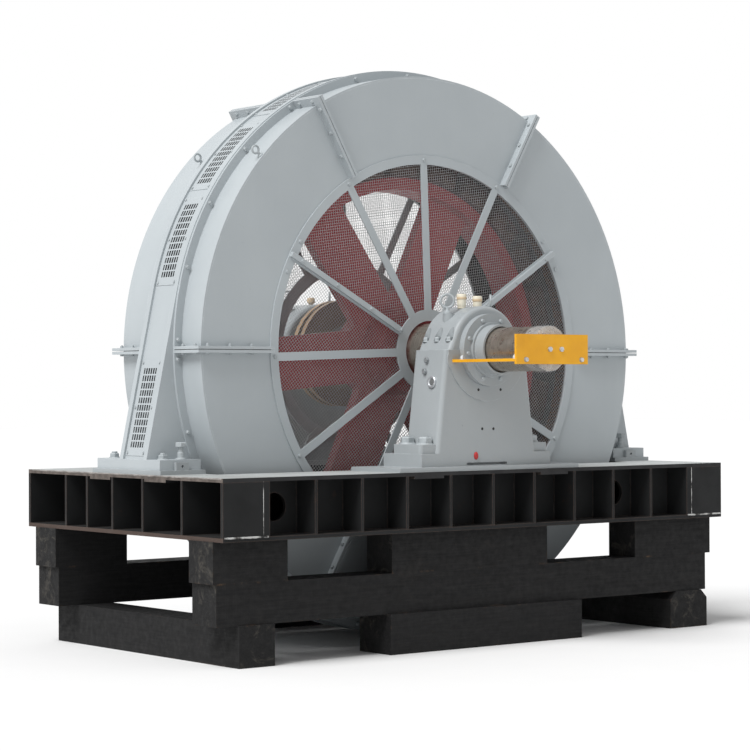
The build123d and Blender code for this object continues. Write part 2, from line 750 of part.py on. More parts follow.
with BuildPart() as shaft:
    with BuildSketch(across(SHAFT_REAR)):
        Circle(SHAFT_R)
    extrude(amount=SHAFT_REAR - SHAFT_FRONT)
    with BuildSketch(across(BODY_END)):
        Circle(BODY_R)
    extrude(amount=2 * BODY_END)
save(shaft.part, "shaft")

# where a window's straight edges start, and where they meet the rim
window_start = ARM_W / 2 / sin(radians(180 / WINDOWS))
window_rise = window_start * sin(radians(180 / WINDOWS))
window_run = sqrt(RIM_IN ** 2 - window_rise ** 2) - window_start * cos(radians(180 / WINDOWS))
window_far = (window_start + window_run * cos(radians(180 / WINDOWS)),
              window_run * sin(radians(180 / WINDOWS)))
window_near = (window_far[0], -window_far[1])

with BuildPart() as rotor_spider:
    with BuildSketch(across(FRAME_MID + HUB_L / 2)):
        Circle(HUB_R)
    extrude(amount=HUB_L)
    with BuildSketch(across(FRAME_MID + WEB_THICK / 2)):
        Circle(RIM_IN)
        for i in range(WINDOWS):
            with Locations(Rot(0, 0, WINDOW_TURN + 360 / WINDOWS * i)):
                with BuildSketch(mode=Mode.PRIVATE) as window:
                    with BuildLine():
                        Line((window_start, 0), window_far)
                        ThreePointArc(window_far, (RIM_IN - 2, 0), window_near)
                        Line(window_near, (window_start, 0))
                    make_face()
                    fillet(window.vertices(), radius=WINDOW_R)
                add(window.sketch, mode=Mode.SUBTRACT)
    extrude(amount=WEB_THICK)
    with BuildSketch(across(FRAME_MID + HUB_L)):
        Circle(BODY_R)
    extrude(amount=2 * HUB_L, mode=Mode.SUBTRACT)
save(rotor_spider.part, "rotor_spider")

with BuildPart() as rotor_rim:
    with BuildSketch(across(FRAME_MID + RIM_L / 2)):
        Circle(RIM_OUT)
        Circle(RIM_IN, mode=Mode.SUBTRACT)
    extrude(amount=RIM_L)
save(rotor_rim.part, "rotor_rim")

with BuildPart() as rotor_poles:
    with BuildSketch(across(FRAME_MID + RIM_L / 2)):
        Circle(RIM_OUT + SEAT_T)
        Circle(RIM_OUT, mode=Mode.SUBTRACT)
    extrude(amount=RIM_L)
    pole_foot = RIM_OUT + SEAT_T - 9
    pole_top = POLE_OUT - SHOE_T + 10
    with BuildSketch(across(FRAME_MID + RIM_L / 2 + 10)):
        Circle(POLE_OUT)
        Circle(POLE_OUT - SHOE_T, mode=Mode.SUBTRACT)
        with PolarLocations(POLE_OUT - SHOE_T + 10, POLES, start_angle=180 / POLES):
            Rectangle(POLE_GAP, 2 * SHOE_T, mode=Mode.SUBTRACT)
        with PolarLocations((pole_foot + pole_top) / 2, POLES):
            Rectangle(pole_top - pole_foot, POLE_W)
    extrude(amount=RIM_L + 20)
save(rotor_poles.part, "rotor_poles")

with BuildPart() as slip_rings:
    low = SLIP_R - SLIP_STEP
    second = SLIP_Y + SLIP_NEXT
    with BuildSketch(through_axis()):
        with BuildLine():
            Polyline((BODY_R, SLIP_Y), (SLIP_R, SLIP_Y), (SLIP_R, SLIP_Y + SLIP_W), (low, SLIP_Y + SLIP_W),
                     (low, second), (SLIP_R, second), (SLIP_R, second + SLIP_W),
                     (BODY_R, second + SLIP_W), close=True)
        make_face()
    revolve(axis=SHAFT_LINE)
save(slip_rings.part, "slip_rings")
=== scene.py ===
from math import cos, pi, radians, sin, tan

import bmesh
import bpy
from mathutils import Matrix, Vector, noise


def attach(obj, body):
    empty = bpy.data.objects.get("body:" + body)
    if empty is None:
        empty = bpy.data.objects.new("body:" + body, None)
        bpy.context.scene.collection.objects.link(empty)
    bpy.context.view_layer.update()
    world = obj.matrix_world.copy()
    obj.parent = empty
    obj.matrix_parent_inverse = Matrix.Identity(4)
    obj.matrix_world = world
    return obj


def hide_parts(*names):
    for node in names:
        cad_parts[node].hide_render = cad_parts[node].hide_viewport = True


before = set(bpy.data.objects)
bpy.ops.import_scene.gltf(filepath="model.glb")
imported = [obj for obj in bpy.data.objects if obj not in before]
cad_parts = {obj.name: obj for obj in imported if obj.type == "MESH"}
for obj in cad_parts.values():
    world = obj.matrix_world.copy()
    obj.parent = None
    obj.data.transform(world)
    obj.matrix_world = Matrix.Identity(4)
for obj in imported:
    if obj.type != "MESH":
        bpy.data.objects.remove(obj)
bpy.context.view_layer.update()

# Places are given as on the machine's drawing: millimetres, X across, Y along
# the shaft with the drive end at -Y, Z from the ground.

DRAWING_X = 2.0
DRAWING_Y = 202.5
AXIS_Z = 1559
BASE_Z = 621
BASE_TOP = 929
SOLE_TOP = BASE_TOP + 22
FOOT_TOP = SOLE_TOP + 53
HALF_L = 1719.5
BASE_FRONT = -891
BASE_BACK = 957
FRAME_FRONT = -175
FRAME_REAR = 79
FRAME_MID = -48
SKIN_R = 1525
COVER_R = 1487
COVER_FACE = 363
FLANGE_T = 14
JOINT_HALF = 17
PED_MID = 711
LEG_LEAN = 12.2
BRACKET_Y = -1352


def drawn(x, y, z):
    """A place on the drawing, in the frame's metres."""
    return Vector((x + DRAWING_X, y + DRAWING_Y, z)) / 1000


def around(angle, radius, y):
    """A place on the drawing, by its angle round the shaft."""
    turn = radians(angle)
    return (radius * cos(turn), y, AXIS_Z + radius * sin(turn))


def outward(angle):
    return (cos(radians(angle)), 0, sin(radians(angle)))


def sideways(angle):
    return (-sin(radians(angle)), 0, cos(radians(angle)))


def standing(place, way, spin=0):
    """Matrix that stands a shape's own Z along a way, at a place on the drawing."""
    turn = Vector(way).to_track_quat("Z", "Y").to_matrix().to_4x4()
    return Matrix.Translation(drawn(*place)) @ turn @ Matrix.Rotation(radians(spin), 4, "Z")


def in_scene(name, data):
    """A new object in the scene."""
    thing = bpy.data.objects.new(name, data)
    bpy.context.scene.collection.objects.link(thing)
    return thing


# finishes


class Nodes:
    """A node tree in the making."""

    def __init__(self, tree):
        self.tree = tree

    def feed(self, value, socket):
        """Link another node's output to a socket, or set the socket to a value."""
        if isinstance(value, bpy.types.NodeSocket):
            self.tree.links.new(value, socket)
        else:
            socket.default_value = value

    def add(self, kind, inputs=(), **settings):
        """Outputs of a new node, from its settings and its inputs by name or number."""
        node = self.tree.nodes.new(kind)
        for key, value in settings.items():
            setattr(node, key, value)
        for key, value in dict(inputs).items():
            self.feed(value, node.inputs[key])
        return node.outputs

    def math(self, operation, a, b=0.0):
        return self.add("ShaderNodeMath", {0: a, 1: b}, operation=operation)[0]

    def times(self, a, b):
        return self.math("MULTIPLY", a, b)

    def vector_math(self, operation, *values):
        return self.add("ShaderNodeVectorMath", dict(enumerate(values)), operation=operation)

    def split(self, vector):
        return self.add("ShaderNodeSeparateXYZ", {0: vector})

    def ranged(self, value, low, high, out_low=0.0, out_high=1.0):
        """A value moved from one range to another, and held inside it."""
        return self.add("ShaderNodeMapRange", {
            "Value": value, "From Min": low, "From Max": high, "To Min": out_low,
            "To Max": out_high})["Result"]


class Finish(Nodes):
    """A material of nodes, built up from patterns in the piece's own coordinates."""

    def __init__(self, name, metallic=0.0, specular=0.5):
        self.material = bpy.data.materials.new(name)
        self.material.use_nodes = True
        super().__init__(self.material.node_tree)
        self.looks = self.tree.nodes["Principled BSDF"].inputs
        self.looks["Metallic"].default_value = metallic
        self.looks["Specular IOR Level"].default_value = specular
        self.coords = self.add("ShaderNodeTexCoord")["Object"]

    def noise(self, scale, detail=4, rough=0.55, stretch=None, distort=0.0):
        spot = self.coords
        if stretch:
            spot = self.add("ShaderNodeMapping", {"Vector": spot, "Scale": stretch})["Vector"]
        return self.add("ShaderNodeTexNoise", {
            "Vector": spot, "Scale": scale, "Detail": detail, "Roughness": rough,
            "Distortion": distort})["Fac"]

    def wave(self, scale, axis, distort=0.0):
        return self.add("ShaderNodeTexWave", {
            "Vector": self.coords, "Scale": scale, "Distortion": distort},
            bands_direction=axis)["Fac"]

    def patches(self, scale, detail, low, high, most=1.0, **kind):
        """Soft-edged patches of noise: none of it below low, and most of it above high."""
        return self.ranged(self.noise(scale, detail, **kind), low, high, 0.0, most)

    def mix(self, a, b, amount):
        """Colour a, with b laid over it by an amount."""
        a, b = ((*value, 1) if isinstance(value, tuple) else value for value in (a, b))
        return self.add("ShaderNodeMix", {0: amount, 6: a, 7: b}, data_type="RGBA")[2]

    def along(self, axis, vector, low, high):
        """Ramp over one part of a vector, between two values."""
        return self.ranged(self.split(vector)[axis], low, high)

    def height_on(self, axis, low, high):
        """Ramp along one axis of the frame, between two places in metres."""
        return self.along(axis, self.coords, low, high)

    def normal(self):
        return self.add("ShaderNodeNewGeometry")["Normal"]

    def facing(self, axis, low, high):
        """Part of a surface that faces along one axis of the frame."""
        return self.along(axis, self.normal(), low, high)

    def facing_both_ways(self, axis, low, high):
        """Part of a surface that faces either way along one axis."""
        return self.math("ADD", self.facing(axis, -low, -high), self.facing(axis, low, high))

    def edges(self, radius):
        """1 along outer edges, 0 on flat faces."""
        bevel = self.add("ShaderNodeBevel", {"Radius": radius}, samples=4)["Normal"]
        turned = self.vector_math("DOT_PRODUCT", bevel, self.normal())
        return self.ranged(turned["Value"], 1.0, 0.86)

    def from_shaft_line(self):
        """Each point's way out from the shaft line, square to it."""
        centred = self.vector_math("SUBTRACT", self.coords, drawn(0, 0, AXIS_Z))
        return self.vector_math("MULTIPLY", centred["Vector"], (1, 0, 1))["Vector"]

    def towards_shaft(self):
        """1 on surfaces that look in at the shaft line."""
        outwards = self.vector_math("DOT_PRODUCT", self.from_shaft_line(), self.normal())
        return self.ranged(outwards["Value"], -0.4, -0.9)

    def under_skin(self, way):
        """1 on a plate's inner side, as far out as the frame's skin."""
        radius = self.vector_math("LENGTH", self.from_shaft_line())["Value"]
        covered = self.ranged(radius, (SKIN_R - 6) / 1000, (SKIN_R - 12) / 1000)
        return self.times(covered, self.facing("Y", way * 0.6, way * 0.9))

    def colour(self, value):
        self.feed(value, self.looks["Base Color"])

    def roughness(self, scale, detail, low, high):
        """Roughness that drifts between two values over the surface."""
        drift = self.ranged(self.noise(scale, detail), 0.3, 0.7, low, high)
        self.feed(drift, self.looks["Roughness"])

    def bump(self, *layers):
        """Each layer is a pattern with its height in metres."""
        normal = None
        for pattern, depth in layers:
            inputs = {"Strength": 1.0, "Distance": depth, "Height": pattern}
            if normal:
                inputs["Normal"] = normal
            normal = self.add("ShaderNodeBump", inputs)["Normal"]
        self.feed(normal, self.looks["Normal"])


def machine_paint(name, colour, shade, edge, grain, depth, inside=None):
    """Sprayed paint: slow changes of tone, runs, dust specks and rubbed edges.

    inside says which faces look into the housing. These get painted shade: a near-black colour
    that stands in for the shade falling in there.
    """
    f = Finish(name, specular=0.35)
    tone = f.mix(colour, shade, f.patches(1.1, 5, 0.35, 0.7))
    runs = f.patches(7, 3, 0.5, 0.78, 0.35, stretch=(1, 1, 0.12))
    tone = f.mix(tone, shade, runs)
    specks = f.patches(46, 6, 0.66, 0.76, 0.4, rough=0.7)
    tone = f.mix(tone, tuple(c * 0.6 for c in shade), specks)
    rubbed = f.times(f.edges(0.004), f.patches(18, 4, 0.4, 0.62))
    tone = f.mix(tone, edge, rubbed)
    if inside:
        # painted shade: faces inside the housing are coloured near black for the shade that falls
        # there
        painted_inner_shade = f.mix((0.03, 0.026, 0.025), (0.015, 0.014, 0.014), f.patches(8, 5, 0.35, 0.7))
        tone = f.mix(tone, painted_inner_shade, inside(f))
    f.colour(tone)
    f.roughness(6, 5, 0.34, 0.52)
    f.bump((f.noise(grain, 3), depth), (f.noise(5, 2), 0.0012))
    return f.material


def black_steel(name, colour, worn, dust, bare_ends=0.0):
    """Black satin paint over plate, with bare brown edges, dust and rust bloom.

    bare_ends is how far the paint is missing from the left and right ends.
    """
    f = Finish(name, specular=0.1)
    tone = f.mix(colour, tuple(c * 1.4 for c in colour), f.patches(2.3, 6, 0.35, 0.75))
    settled = f.ranged(f.noise(9, 6), 0.3, 0.7, 0.1, 0.55)
    tone = f.mix(tone, dust, f.times(f.facing("Z", 0.5, 1.0), settled))
    rust = f.times(f.patches(5.5, 8, 0.62, 0.74, rough=0.7), 0.5)
    tone = f.mix(tone, (0.075, 0.04, 0.025), rust)
    bare = f.times(f.edges(0.006), f.patches(24, 6, 0.3, 0.55, rough=0.7))
    if bare_ends:
        bare = f.math("MAXIMUM", bare, f.times(f.facing_both_ways("X", 0.4, 0.8), bare_ends))
    f.colour(f.mix(tone, worn, bare))
    f.roughness(11, 5, 0.42, 0.72)
    f.bump((f.noise(60, 6, rough=0.7), 0.0006), (f.noise(380, 2), 0.0001))
    return f.material


def sawn_timber(name, along):
    """Black-painted sawn timber: grain and saw marks along it, scuffed ends, brown edges."""
    f = Finish(name, specular=0.15)
    grain_stretch = (0.06, 1, 1) if along == "X" else (1, 0.06, 1)
    grain = f.noise(85, 7, rough=0.65, stretch=grain_stretch, distort=0.4)
    saw = f.wave(34, along, distort=3.0)
    tone = f.mix((0.0125, 0.0125, 0.013), (0.021, 0.0205, 0.0205), f.ranged(grain, 0.4, 0.75))
    tone = f.mix(tone, (0.04, 0.036, 0.033), f.patches(3.2, 7, 0.6, 0.8, 0.6, rough=0.7))
    scuffs = f.times(f.patches(7.5, 10, 0.54, 0.7, rough=0.72, distort=1.2),
                     f.facing_both_ways(along, 0.5, 0.9))
    tone = f.mix(tone, (0.13, 0.118, 0.1), f.times(scuffs, 0.5))
    worn = f.times(f.edges(0.012), f.patches(6, 7, 0.54, 0.7, rough=0.72))
    f.colour(f.mix(tone, (0.1, 0.062, 0.036), worn))
    f.roughness(30, 4, 0.55, 0.85)
    f.bump((grain, 0.0022), (saw, 0.0005), (f.noise(14, 4), 0.003))
    return f.material


def turned_steel(name, colour, stain, rough_low, rough_high):
    """Machined steel: turning marks round the shaft line, oil and rust stains."""
    f = Finish(name, metallic=0.85)
    marks = f.noise(260, 3, stretch=(0.02, 1, 0.02))
    tone = f.mix(colour, tuple(c * 0.6 for c in colour), f.ranged(marks, 0.35, 0.65))
    blots = f.patches(9, 8, 0.45, 0.7, rough=0.7, stretch=(1, 0.5, 1))
    f.colour(f.mix(tone, stain, f.times(blots, 0.8)))
    f.roughness(30, 6, rough_low, rough_high)
    f.bump((marks, 0.0003), (f.noise(40, 5), 0.0002))
    return f.material


def plain_coat(name, colour, shade, metallic=0.0, rough=(0.4, 0.6), grain=120.0, depth=0.0002):
    """Finish of a small part: two tones of one colour with a fine grain."""
    f = Finish(name, metallic=metallic, specular=0.4)
    f.colour(f.mix(colour, shade, f.patches(grain / 6, 5, 0.35, 0.7)))
    f.roughness(grain / 3, 4, *rough)
    f.bump((f.noise(grain, 4), depth))
    return f.material


def grey_paint(name, inside=None):
    """The pale grey of the frame and covers."""
    return machine_paint(name, (0.435, 0.472, 0.49), (0.385, 0.42, 0.44), (0.58, 0.62, 0.64), 300,
                         0.00012, inside)


def base_paint(name, bare_ends=0.0):
    return black_steel(name, (0.0175, 0.018, 0.0185), (0.085, 0.06, 0.05), (0.042, 0.04, 0.038),
                       bare_ends)


frame_paint = grey_paint("frame_paint")
# the next three paints carry painted shade: near black on the faces that look into the housing
skin_paint = grey_paint("skin_paint", Finish.towards_shaft)
front_paint = grey_paint("front_paint", lambda f: f.under_skin(1))
rear_paint = grey_paint("rear_paint", lambda f: f.under_skin(-1))
cast_paint = machine_paint("cast_paint", (0.35, 0.376, 0.388), (0.305, 0.33, 0.343),
                           (0.5, 0.535, 0.55), 110, 0.0007)
rotor_paint = machine_paint("rotor_paint", (0.42, 0.058, 0.064), (0.32, 0.042, 0.048),
                            (0.5, 0.12, 0.12), 160, 0.0004)
black_paint = base_paint("black_paint")
bottom_paint = base_paint("bottom_paint", 0.8)
timber_long = sawn_timber("timber_along", "X")
timber_cross = sawn_timber("timber_across", "Y")
shaft_steel = turned_steel("shaft_steel", (0.53, 0.475, 0.415), (0.24, 0.185, 0.14), 0.22, 0.42)
bolt_zinc = plain_coat("bolt_zinc", (0.62, 0.64, 0.66), (0.42, 0.44, 0.46), metallic=0.7,
                       rough=(0.3, 0.5), grain=240)
bolt_painted = plain_coat("bolt_painted", (0.42, 0.455, 0.47), (0.3, 0.33, 0.345),
                          rough=(0.35, 0.55), grain=200)
screw_dull = plain_coat("screw_dull", (0.3, 0.32, 0.33), (0.17, 0.18, 0.19), metallic=0.4,
                        rough=(0.35, 0.6), grain=260)
cream_cap = plain_coat("cream_cap", (0.78, 0.74, 0.62), (0.7, 0.64, 0.5), grain=150)
tan_band = plain_coat("tan_band", (0.7, 0.56, 0.38), (0.6, 0.45, 0.29), rough=(0.45, 0.65),
                      grain=150)
red_plug = plain_coat("red_plug", (0.5, 0.03, 0.03), (0.36, 0.02, 0.02), rough=(0.3, 0.5),
                      grain=150)
deep_shade = plain_coat("deep_shade", (0.012, 0.012, 0.013), (0.02, 0.02, 0.021), rough=(0.6, 0.8),
                        grain=100)
wire_paint = plain_coat("wire_paint", (0.46, 0.475, 0.48), (0.37, 0.38, 0.385), grain=180)
pole_varnish = plain_coat("pole_varnish", (0.1, 0.034, 0.034), (0.05, 0.02, 0.021),
                          rough=(0.35, 0.55), grain=90, depth=0.0004)
coil_wrap = plain_coat("coil_wrap", (0.1, 0.05, 0.036), (0.045, 0.026, 0.022), rough=(0.35, 0.55),
                       grain=110, depth=0.0005)
slag = plain_coat("slag", (0.34, 0.32, 0.305), (0.15, 0.135, 0.125), rough=(0.6, 0.8), grain=90,
                  depth=0.0008)
sight_glass = plain_coat("sight_glass", (0.2, 0.21, 0.21), (0.12, 0.125, 0.125), rough=(0.15, 0.3),
                         grain=60, depth=0.0001)


def weld_finish():
    """Black paint over a bead, with bare bright runs where it has gone."""
    f = Finish("weld_metal", specular=0.3)
    black = f.mix((0.018, 0.018, 0.018), (0.05, 0.046, 0.042), f.patches(40, 5, 0.4, 0.7))
    f.colour(f.mix(black, (0.5, 0.5, 0.49), f.patches(13, 5, 0.42, 0.54, rough=0.6)))
    f.roughness(30, 4, 0.45, 0.7)
    f.bump((f.noise(70, 4), 0.0008))
    return f.material


def yellow_paint():
    """Yellow paint on the transport bracket, and bare zinc on the bolt heads before its plate."""
    f = Finish("transport_yellow", specular=0.4)
    tone = f.mix((0.84, 0.41, 0.012), (0.72, 0.33, 0.01), f.patches(6, 5, 0.35, 0.7))
    tone = f.mix(tone, (0.42, 0.2, 0.03), f.patches(30, 8, 0.66, 0.76, 0.6, rough=0.75))
    chips = f.times(f.edges(0.003), f.patches(60, 5, 0.52, 0.62))
    tone = f.mix(tone, (0.25, 0.2, 0.16), chips)
    plate_face = (BRACKET_Y - 0.3 + DRAWING_Y) / 1000
    heads = f.height_on("Y", plate_face, plate_face - 0.0002)
    zinc = f.mix((0.62, 0.64, 0.66), (0.4, 0.42, 0.44), f.patches(90, 4, 0.35, 0.7))
    f.colour(f.mix(tone, zinc, heads))
    f.feed(f.times(heads, 0.7), f.looks["Metallic"])
    f.roughness(14, 5, 0.36, 0.55)
    f.bump((f.noise(220, 3), 0.0002))
    return f.material


def top_plate_finish():
    """Grey primer on top with patches of rust, flame-cut brown edges, black below."""
    f = Finish("base_primer", specular=0.25)
    primer = f.mix((0.42, 0.44, 0.44), (0.33, 0.34, 0.335), f.patches(3, 6, 0.35, 0.7))
    primer = f.mix(primer, (0.4, 0.2, 0.12), f.patches(2.2, 8, 0.6, 0.78, 0.6, rough=0.65))
    cut = f.mix((0.15, 0.125, 0.11), (0.055, 0.045, 0.04), f.patches(22, 8, 0.35, 0.65, rough=0.7))
    edge = f.mix((0.02, 0.02, 0.021), cut, f.facing_both_ways("X", 0.4, 0.8))
    tone = f.mix(edge, primer, f.facing("Z", 0.6, 0.9))
    f.colour(f.mix(tone, (0.01, 0.01, 0.011), f.facing("Z", -0.6, -0.9)))
    f.roughness(12, 5, 0.5, 0.8)
    f.bump((f.noise(45, 8, rough=0.7), 0.0012), (f.noise(150, 3, stretch=(1, 1, 0.1)), 0.0004))
    return f.material


def core_finish():
    """Stacked laminations: fine lines across the shaft, under grey-brown varnish."""
    f = Finish("core_laminations", metallic=0.4, specular=0.4)
    sheets = f.wave(160, "Y")
    f.colour(f.mix((0.1, 0.1, 0.105), (0.05, 0.05, 0.052), sheets))
    f.roughness(14, 5, 0.45, 0.65)
    f.bump((sheets, 0.0006), (f.noise(30, 4), 0.0008))
    return f.material


def coil_finish():
    """Taped end windings: bands of tape round each coil, dark varnish."""
    f = Finish("coil_tape", specular=0.4)
    tape = f.noise(95, 3, stretch=(1, 0.15, 1))
    f.colour(f.mix((0.16, 0.07, 0.035), (0.06, 0.03, 0.02), f.ranged(tape, 0.4, 0.6)))
    f.roughness(20, 4, 0.35, 0.6)
    f.bump((tape, 0.003), (f.noise(260, 2), 0.0003))
    return f.material


TRACK_STARTS = (392, 452)
TRACK_WIDTH = 32
TRACK_BLUR = 0.0005


def slip_finish():
    """Black insulation with two bronze tracks, by the place along the shaft."""
    f = Finish("slip_rings")
    bands = []
    for start in TRACK_STARTS:
        low, high = ((y + DRAWING_Y) / 1000 for y in (start, start + TRACK_WIDTH))
        bands.append(f.times(f.height_on("Y", low - TRACK_BLUR, low + TRACK_BLUR),
                             f.height_on("Y", high + TRACK_BLUR, high - TRACK_BLUR)))
    tracks = f.math("ADD", *bands)
    polish = f.noise(240, 3, stretch=(0.02, 1, 0.02))
    bronze = f.mix((0.5, 0.33, 0.18), (0.36, 0.22, 0.11), f.ranged(polish, 0.35, 0.65))
    black = f.mix((0.012, 0.012, 0.012), (0.03, 0.029, 0.028), f.patches(18, 5, 0.4, 0.7))
    f.colour(f.mix(black, bronze, tracks))
    f.roughness(25, 4, 0.3, 0.5)
    f.bump((polish, 0.0002))
    return f.material


def film_finish():
    """Thin clear film, creased and a little milky."""
    f = Finish("clear_film", specular=0.8)
    f.looks["Alpha"].default_value = 0.13
    f.colour(f.mix((0.6, 0.61, 0.62), (0.9, 0.91, 0.92), f.patches(60, 4, 0.4, 0.6)))
    f.roughness(45, 4, 0.08, 0.24)
    f.bump((f.noise(90, 4), 0.0015))
    return f.material


weld_metal = weld_finish()
yellow = yellow_paint()
primer = top_plate_finish()
laminations = core_finish()
tape = coil_finish()
slip_tracks = slip_finish()
clear_film = film_finish()

NODE_FINISH = {
    timber_cross: ("timber_bottom_left", "timber_bottom_right"),
    timber_long: ("timber_bottom_middle_front", "timber_bottom_middle_rear", "timber_long_front",
                  "timber_long_rear", "timber_blocks_front", "timber_blocks_rear"),
    primer: ("base_top_plate",),
    bottom_paint: ("base_bottom_plate",),
    black_paint: ("base_long_webs", "base_end_walls", "base_ribs_front", "base_ribs_rear",
                  "base_ribs_ends"),
    cast_paint: ("sole_plates", "pedestal_front", "pedestal_rear", "bearing_cap_front",
                 "bearing_cap_rear", "shaft_seal_front", "bearing_cover_rear"),
    frame_paint: ("feet", "frame_vents", "front_cover_joints", "rear_cover_joints", "guard_front",
                  "guard_rear"),
    front_paint: ("frame_front_plate", "front_cover_face"),
    rear_paint: ("frame_rear_plate", "rear_cover_face"),
    skin_paint: ("frame_skin", "front_cover_wall", "rear_cover_wall"),
    wire_paint: ("guard_screen_front", "guard_screen_rear"),
    yellow: ("transport_bracket",),
    laminations: ("stator_core",),
    tape: ("windings",),
    shaft_steel: ("shaft",),
    rotor_paint: ("rotor_spider", "rotor_rim"),
    pole_varnish: ("rotor_poles",),
    slip_tracks: ("slip_rings",),
}

for finish, node_names in NODE_FINISH.items():
    for node_name in node_names:
        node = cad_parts[node_name]
        if not node.data.materials:
            node.data.materials.append(finish)
        for holder in node.material_slots:
            holder.material = finish


# pieces


def kept(mesh, name):
    """A drawn mesh as the piece's data, with its faces turned outwards."""
    bmesh.ops.recalc_face_normals(mesh, faces=mesh.faces)
    data = bpy.data.meshes.new(name)
    mesh.to_mesh(data)
    mesh.free()
    return data


def skinned(mesh, rows, closed=False):
    """Faces between rows of points. Each row goes round, or is a single point."""
    for row, after in zip(rows, rows[1:] + rows[:1] if closed else rows[1:]):
        around_it = max(len(row), len(after))
        for j in range(around_it):
            k = (j + 1) % around_it
            corners = (row[j % len(row)], row[k % len(row)],
                       after[k % len(after)], after[j % len(after)])
            mesh.faces.new(tuple(dict.fromkeys(corners)))


class Blank:
    """One piece in the making. Shapes are added in metres and then finished together."""

    def __init__(self):
        self.mesh = bmesh.new()

    def turned(self, profile, place, steps=24, closed=False):
        """Turned shape from (radius, height) points in millimetres, or a ring where closed."""
        rings = []
        for radius, height in profile:
            turns = [2 * pi * i / steps for i in range(steps if radius else 1)]
            spots = [Vector((radius * cos(t), radius * sin(t), height)) / 1000 for t in turns]
            rings.append([self.mesh.verts.new(place @ spot) for spot in spots])
        skinned(self.mesh, rings, closed)

    def hoop(self, radius, thick, place, steps=36, sides=10):
        """Round bar bent into a ring that lies in the place's XY plane."""
        rolls = [2 * pi * j / sides for j in range(sides)]
        section = [(radius + thick * cos(roll), thick * sin(roll)) for roll in rolls]
        self.turned(section, place, steps, closed=True)

    def done(self, name, finish, slot="grey_paint"):
        """Make the object, finish it and put it on the stator."""
        dressed(name, kept(self.mesh, name), finish, "stator")


def dressed(name, data, finish, body, smooth=35):
    """A finished piece from its mesh: smoothed, given its material, and riding."""
    piece = in_scene(name, data)
    data.materials.clear()
    data.materials.append(finish)
    if smooth:
        data.shade_smooth()
        data.set_sharp_from_angle(angle=radians(smooth))
    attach(piece, body)
    return piece


# what repeats is laid out by node trees


class Tree(Nodes):
    """A geometry node tree with named inputs, and the finish as its last."""

    def __init__(self, name, sizes=(), counts=(), choices=()):
        super().__init__(bpy.data.node_groups.new(name, "GeometryNodeTree"))
        self.opened("Geometry", "Geometry", "OUTPUT")
        self.opened("Geometry", "Geometry")
        kinds = (("Float", sizes), ("Int", counts), ("Bool", choices), ("Material", ("Finish",)))
        for kind, labels in kinds:
            for label in labels:
                self.opened(label, kind)
        self.inlet = self.add("NodeGroupInput")

    def opened(self, label, kind, way="INPUT"):
        self.tree.interface.new_socket(label, in_out=way, socket_type="NodeSocket" + kind)

    def given(self, label):
        return self.inlet[label]

    def vector(self, x=0.0, y=0.0, z=0.0):
        return self.add("ShaderNodeCombineXYZ", {0: x, 1: y, 2: z})[0]

    def joined(self, parts):
        node = self.tree.nodes.new("GeometryNodeJoinGeometry")
        for part in parts:
            self.feed(part, node.inputs[0])
        return node.outputs[0]

    def round_bar(self, curve, label, sides):
        """A curve as a closed round bar of a named width."""
        profile = self.add("GeometryNodeCurvePrimitiveCircle",
                           {"Resolution": sides, "Radius": self.times(self.given(label), 0.5)})[0]
        return self.add("GeometryNodeCurveToMesh", {
            "Curve": curve, "Profile Curve": profile, "Fill Caps": True})[0]

    def placed(self, shape):
        """The shape at each marked point, turned as the point says."""
        turn = self.add("GeometryNodeInputNamedAttribute", {"Name": "turn"},
                        data_type="FLOAT_VECTOR")["Attribute"]
        points = self.add("GeometryNodeMeshToPoints", {"Mesh": self.given("Geometry")})[0]
        return self.add("GeometryNodeInstanceOnPoints", {
            "Points": points, "Instance": shape, "Rotation": turn})[0]

    def close(self, geometry):
        """Realise and give the finish, as every tree ends."""
        real = self.add("GeometryNodeRealizeInstances", {0: geometry})[0]
        finished = self.add("GeometryNodeSetMaterial", {
            "Geometry": real, "Material": self.given("Finish")})[0]
        self.add("NodeGroupOutput", {0: finished})
        return self.tree


def laid_out(name, seed_mesh, group, sizes, finish, body, smooth=35, place=None, other=()):
    """Run a tree on a starting mesh and keep its result as a plain, finished piece.

    Sizes are in millimetres, and what the tree is given besides lengths comes as other.
    """
    holder = in_scene(name + "_layout", seed_mesh)
    modifier = holder.modifiers.new("layout", "NODES")
    modifier.node_group = group
    given = {label: size / 1000 for label, size in sizes.items()}
    given.update(other, Finish=finish)
    for item in group.interface.items_tree:
        if item.in_out == "INPUT" and item.name in given:
            modifier[item.identifier] = given[item.name]
    graph = bpy.context.evaluated_depsgraph_get()
    data = bpy.data.meshes.new_from_object(holder.evaluated_get(graph), depsgraph=graph)
    data.name = name
    holder.modifiers.remove(modifier)
    bpy.data.objects.remove(holder)
    if place:
        data.transform(place)
    return dressed(name, data, finish, body, smooth)


def marked_points(places):
    """Mesh of points for a tree: each with the turn that stands Z along its way."""
    data = bpy.data.meshes.new("marks")
    data.from_pydata([drawn(*place) for place, way in places], [], [])
    turns = data.attributes.new("turn", "FLOAT_VECTOR", "POINT")
    for i, (place, way) in enumerate(places):
        turns.data[i].vector = Vector(way).to_track_quat("Z", "Y").to_euler()
    return data


